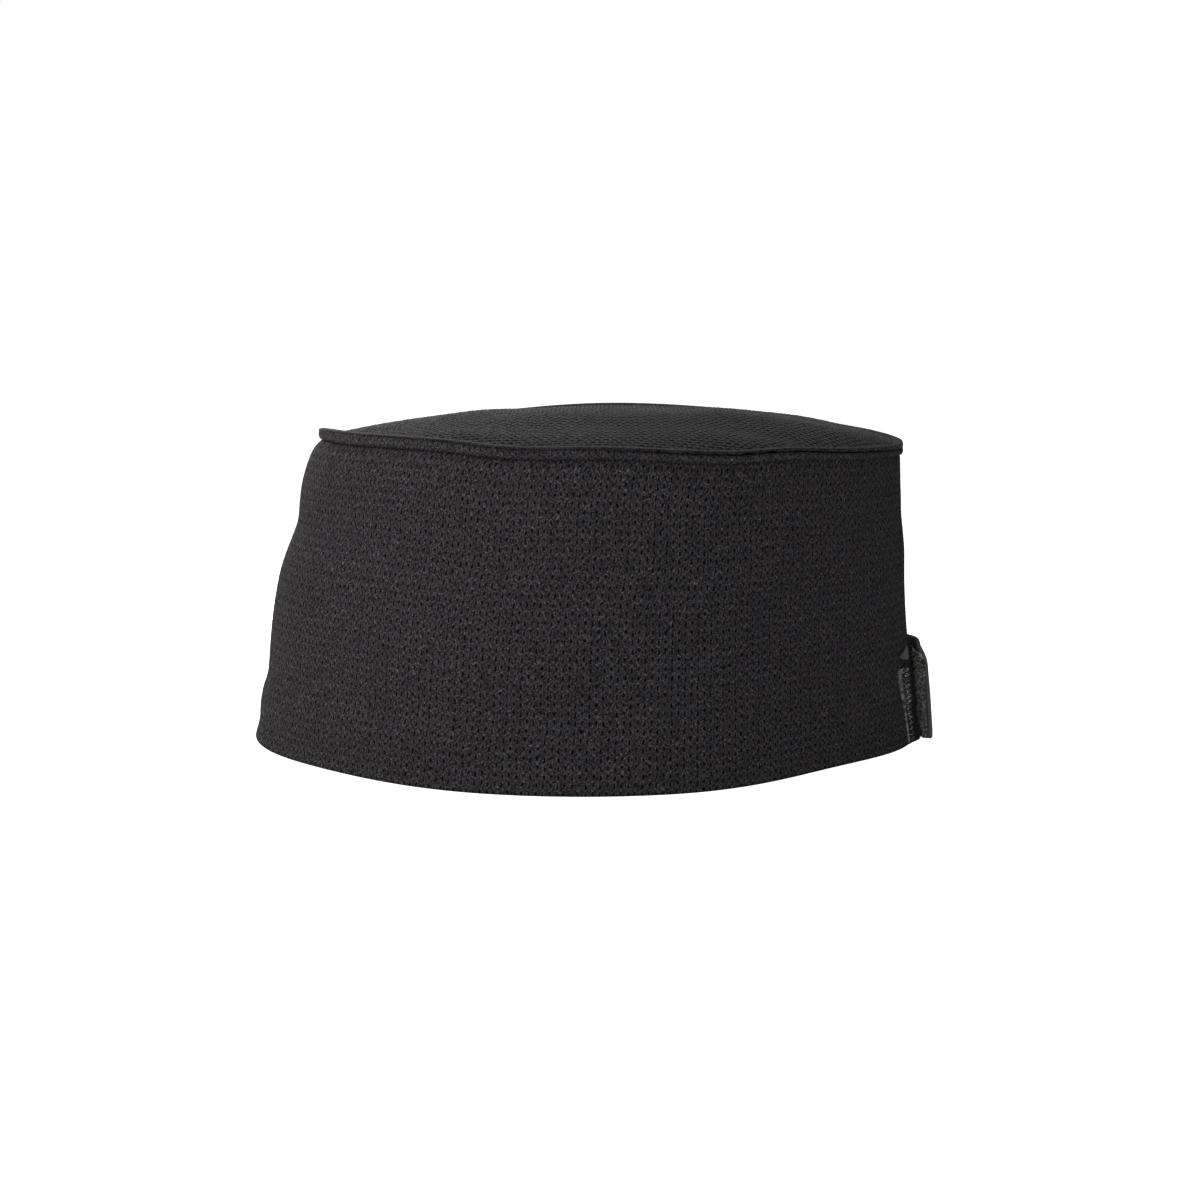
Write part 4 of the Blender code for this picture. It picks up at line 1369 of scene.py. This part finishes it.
pile = {
    "bodyThickness": 0.00045,
    "loops": 2600,
    "radius": 0.000085,
    "tallest": 0.00085,
    "span": 0.00058,
    "lean": 0.00012,           # how far a loop leans aside
    "edgeRadius": 0.00026,     # of the pale cut edge along its top
    "edgeFray": 0.00006,
    "tipMargin": 0.0007,       # bare cloth between the pile and the strap's edges
    "topMargin": 0.0008,
    "footMargin": 0.0002,
}


def pilePlace(across, up, depth):
    # across runs from where the pile begins to the strap's tip; it stays inside the strap's outline
    travel = strapTip - closure["pileLength"] + across - pile["tipMargin"]
    height = closure["strapHeight"] * closure["pileTop"]
    top = np.minimum(closure["bottom"] + height, strapTop(travel) - pile["topMargin"])
    foot = strapFoot(travel) + pile["footMargin"]
    return strapPoints(travel, mix(foot, top, up / height), depth)


def buildPile(pileCloth, pileYarn, pileEdge):
    height = closure["strapHeight"] * closure["pileTop"]
    width = closure["pileLength"]
    body = pile["bodyThickness"]
    base = closure["pileThickness"] - body

    def place(across, up, depth):
        return pilePlace(across, up, base + depth)

    tape = clothSlab("loopTape", place, (width, height), body, pileCloth, (50, 80), 0.0005)
    chance = np.random.default_rng(31)
    count = pile["loops"]
    across = chance.uniform(0.0002, width - 0.0002, count)
    up = chance.uniform(0.0002, height - 0.0002, count)
    # the nap lies in soft tufts, two to three millimetres apart
    tuft = np.sin(across * 2900 + 1.3 * np.sin(up * 900)) * np.sin(up * 2300 + 1.7 * np.sin(across * 1300))
    rise = pile["tallest"] * (0.62 + 0.25 * tuft + chance.uniform(-0.2, 0.2, count))
    heading = chance.uniform(0, 2 * math.pi, count)
    lean = pile["lean"]
    leanAcross, leanUp = chance.normal(0, lean, count), chance.normal(-lean, lean, count)
    paths = []
    for step in np.linspace(-1, 1, 6):
        arch = 1 - step ** 2
        bulge = step * (1 + 0.35 * arch) * pile["span"] / 2
        a = np.clip(across + np.cos(heading) * bulge + leanAcross * arch, 0, width)
        u = np.clip(up + np.sin(heading) * bulge + leanUp * arch, 0, height)
        paths.append(pilePlace(a, u, base + body * 0.3 - (rise + 0.0001) * arch))
    loops = threadTubes("loopTapePile", np.stack(paths, 1), pile["radius"], pileYarn, 4, up=(1, 0, 0))
    along = np.linspace(0.0003, width - 0.0003, 60)
    fray = chance.normal(0, pile["edgeFray"], (2, len(along)))
    edge = pilePlace(along, height + fray[0], base - 0.0001 + fray[1])
    edge = threadTubes("loopTapeEdge", edge[None], pile["edgeRadius"], pileEdge, 6)
    return tape, loops, edge


setUpStudio()
print("studio is set")
sideBand = buildBand(knitMaterial("blackMeshKnit", knit))
print("side band: %d faces" % len(sideBand.data.polygons))
crownTop = buildCrown(knitMaterial("blackCrownKnit", crownKnit))
ridgeThread = buildRidgeThread(yarnMaterial("blackRidgeThreadHighlit"))
print("crown: %d faces" % len(crownTop.data.polygons))
# the hooks' nylon: its pale patches are painted glints, and nearer the slit it is painted dark as shade
hookNylonPaintedLight = yarnMaterial("blackHookNylonPaintedGlints", hookLook["shadedToX"])
hookTape = buildHookTape(wovenMaterial("hookTapeWeavePaintedShade"), hookNylonPaintedLight, yarnMaterial("blackEdgeThread"))
hookTapeEnd = buildTapeEnd(wovenMaterial("hookTapeEndPaintedLight"))
print("hook tape: %d faces" % sum(len(piece.data.polygons) for piece in (*hookTape, hookTapeEnd)))
strap = buildStrap(wovenMaterial("strapClothPaintedLight")), buildStrapStitching(yarnMaterial("blackThread"))
pileYarn, pileEdge = yarnMaterial("blackPileYarn"), yarnMaterial("greyPileEdge")
loopTape = buildPile(wovenMaterial("blackPileBacking"), pileYarn, pileEdge)
print("strap and pile: %d faces" % sum(len(piece.data.polygons) for piece in (*strap, *loopTape)))

for pieces, node, slotName in (
    ((sideBand,), "side_band", "mesh_knit"),
    ((crownTop, ridgeThread), "crown", "mesh_knit"),
    ((*hookTape, hookTapeEnd), "hook_tape", "hook_tape"),
    (strap, "closure_tab", "tab_cloth"),
    (loopTape, "loop_tape", "loop_pile"),
):
    for piece in pieces:
        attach(piece, "root")
        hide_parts(node)

buildFloor()
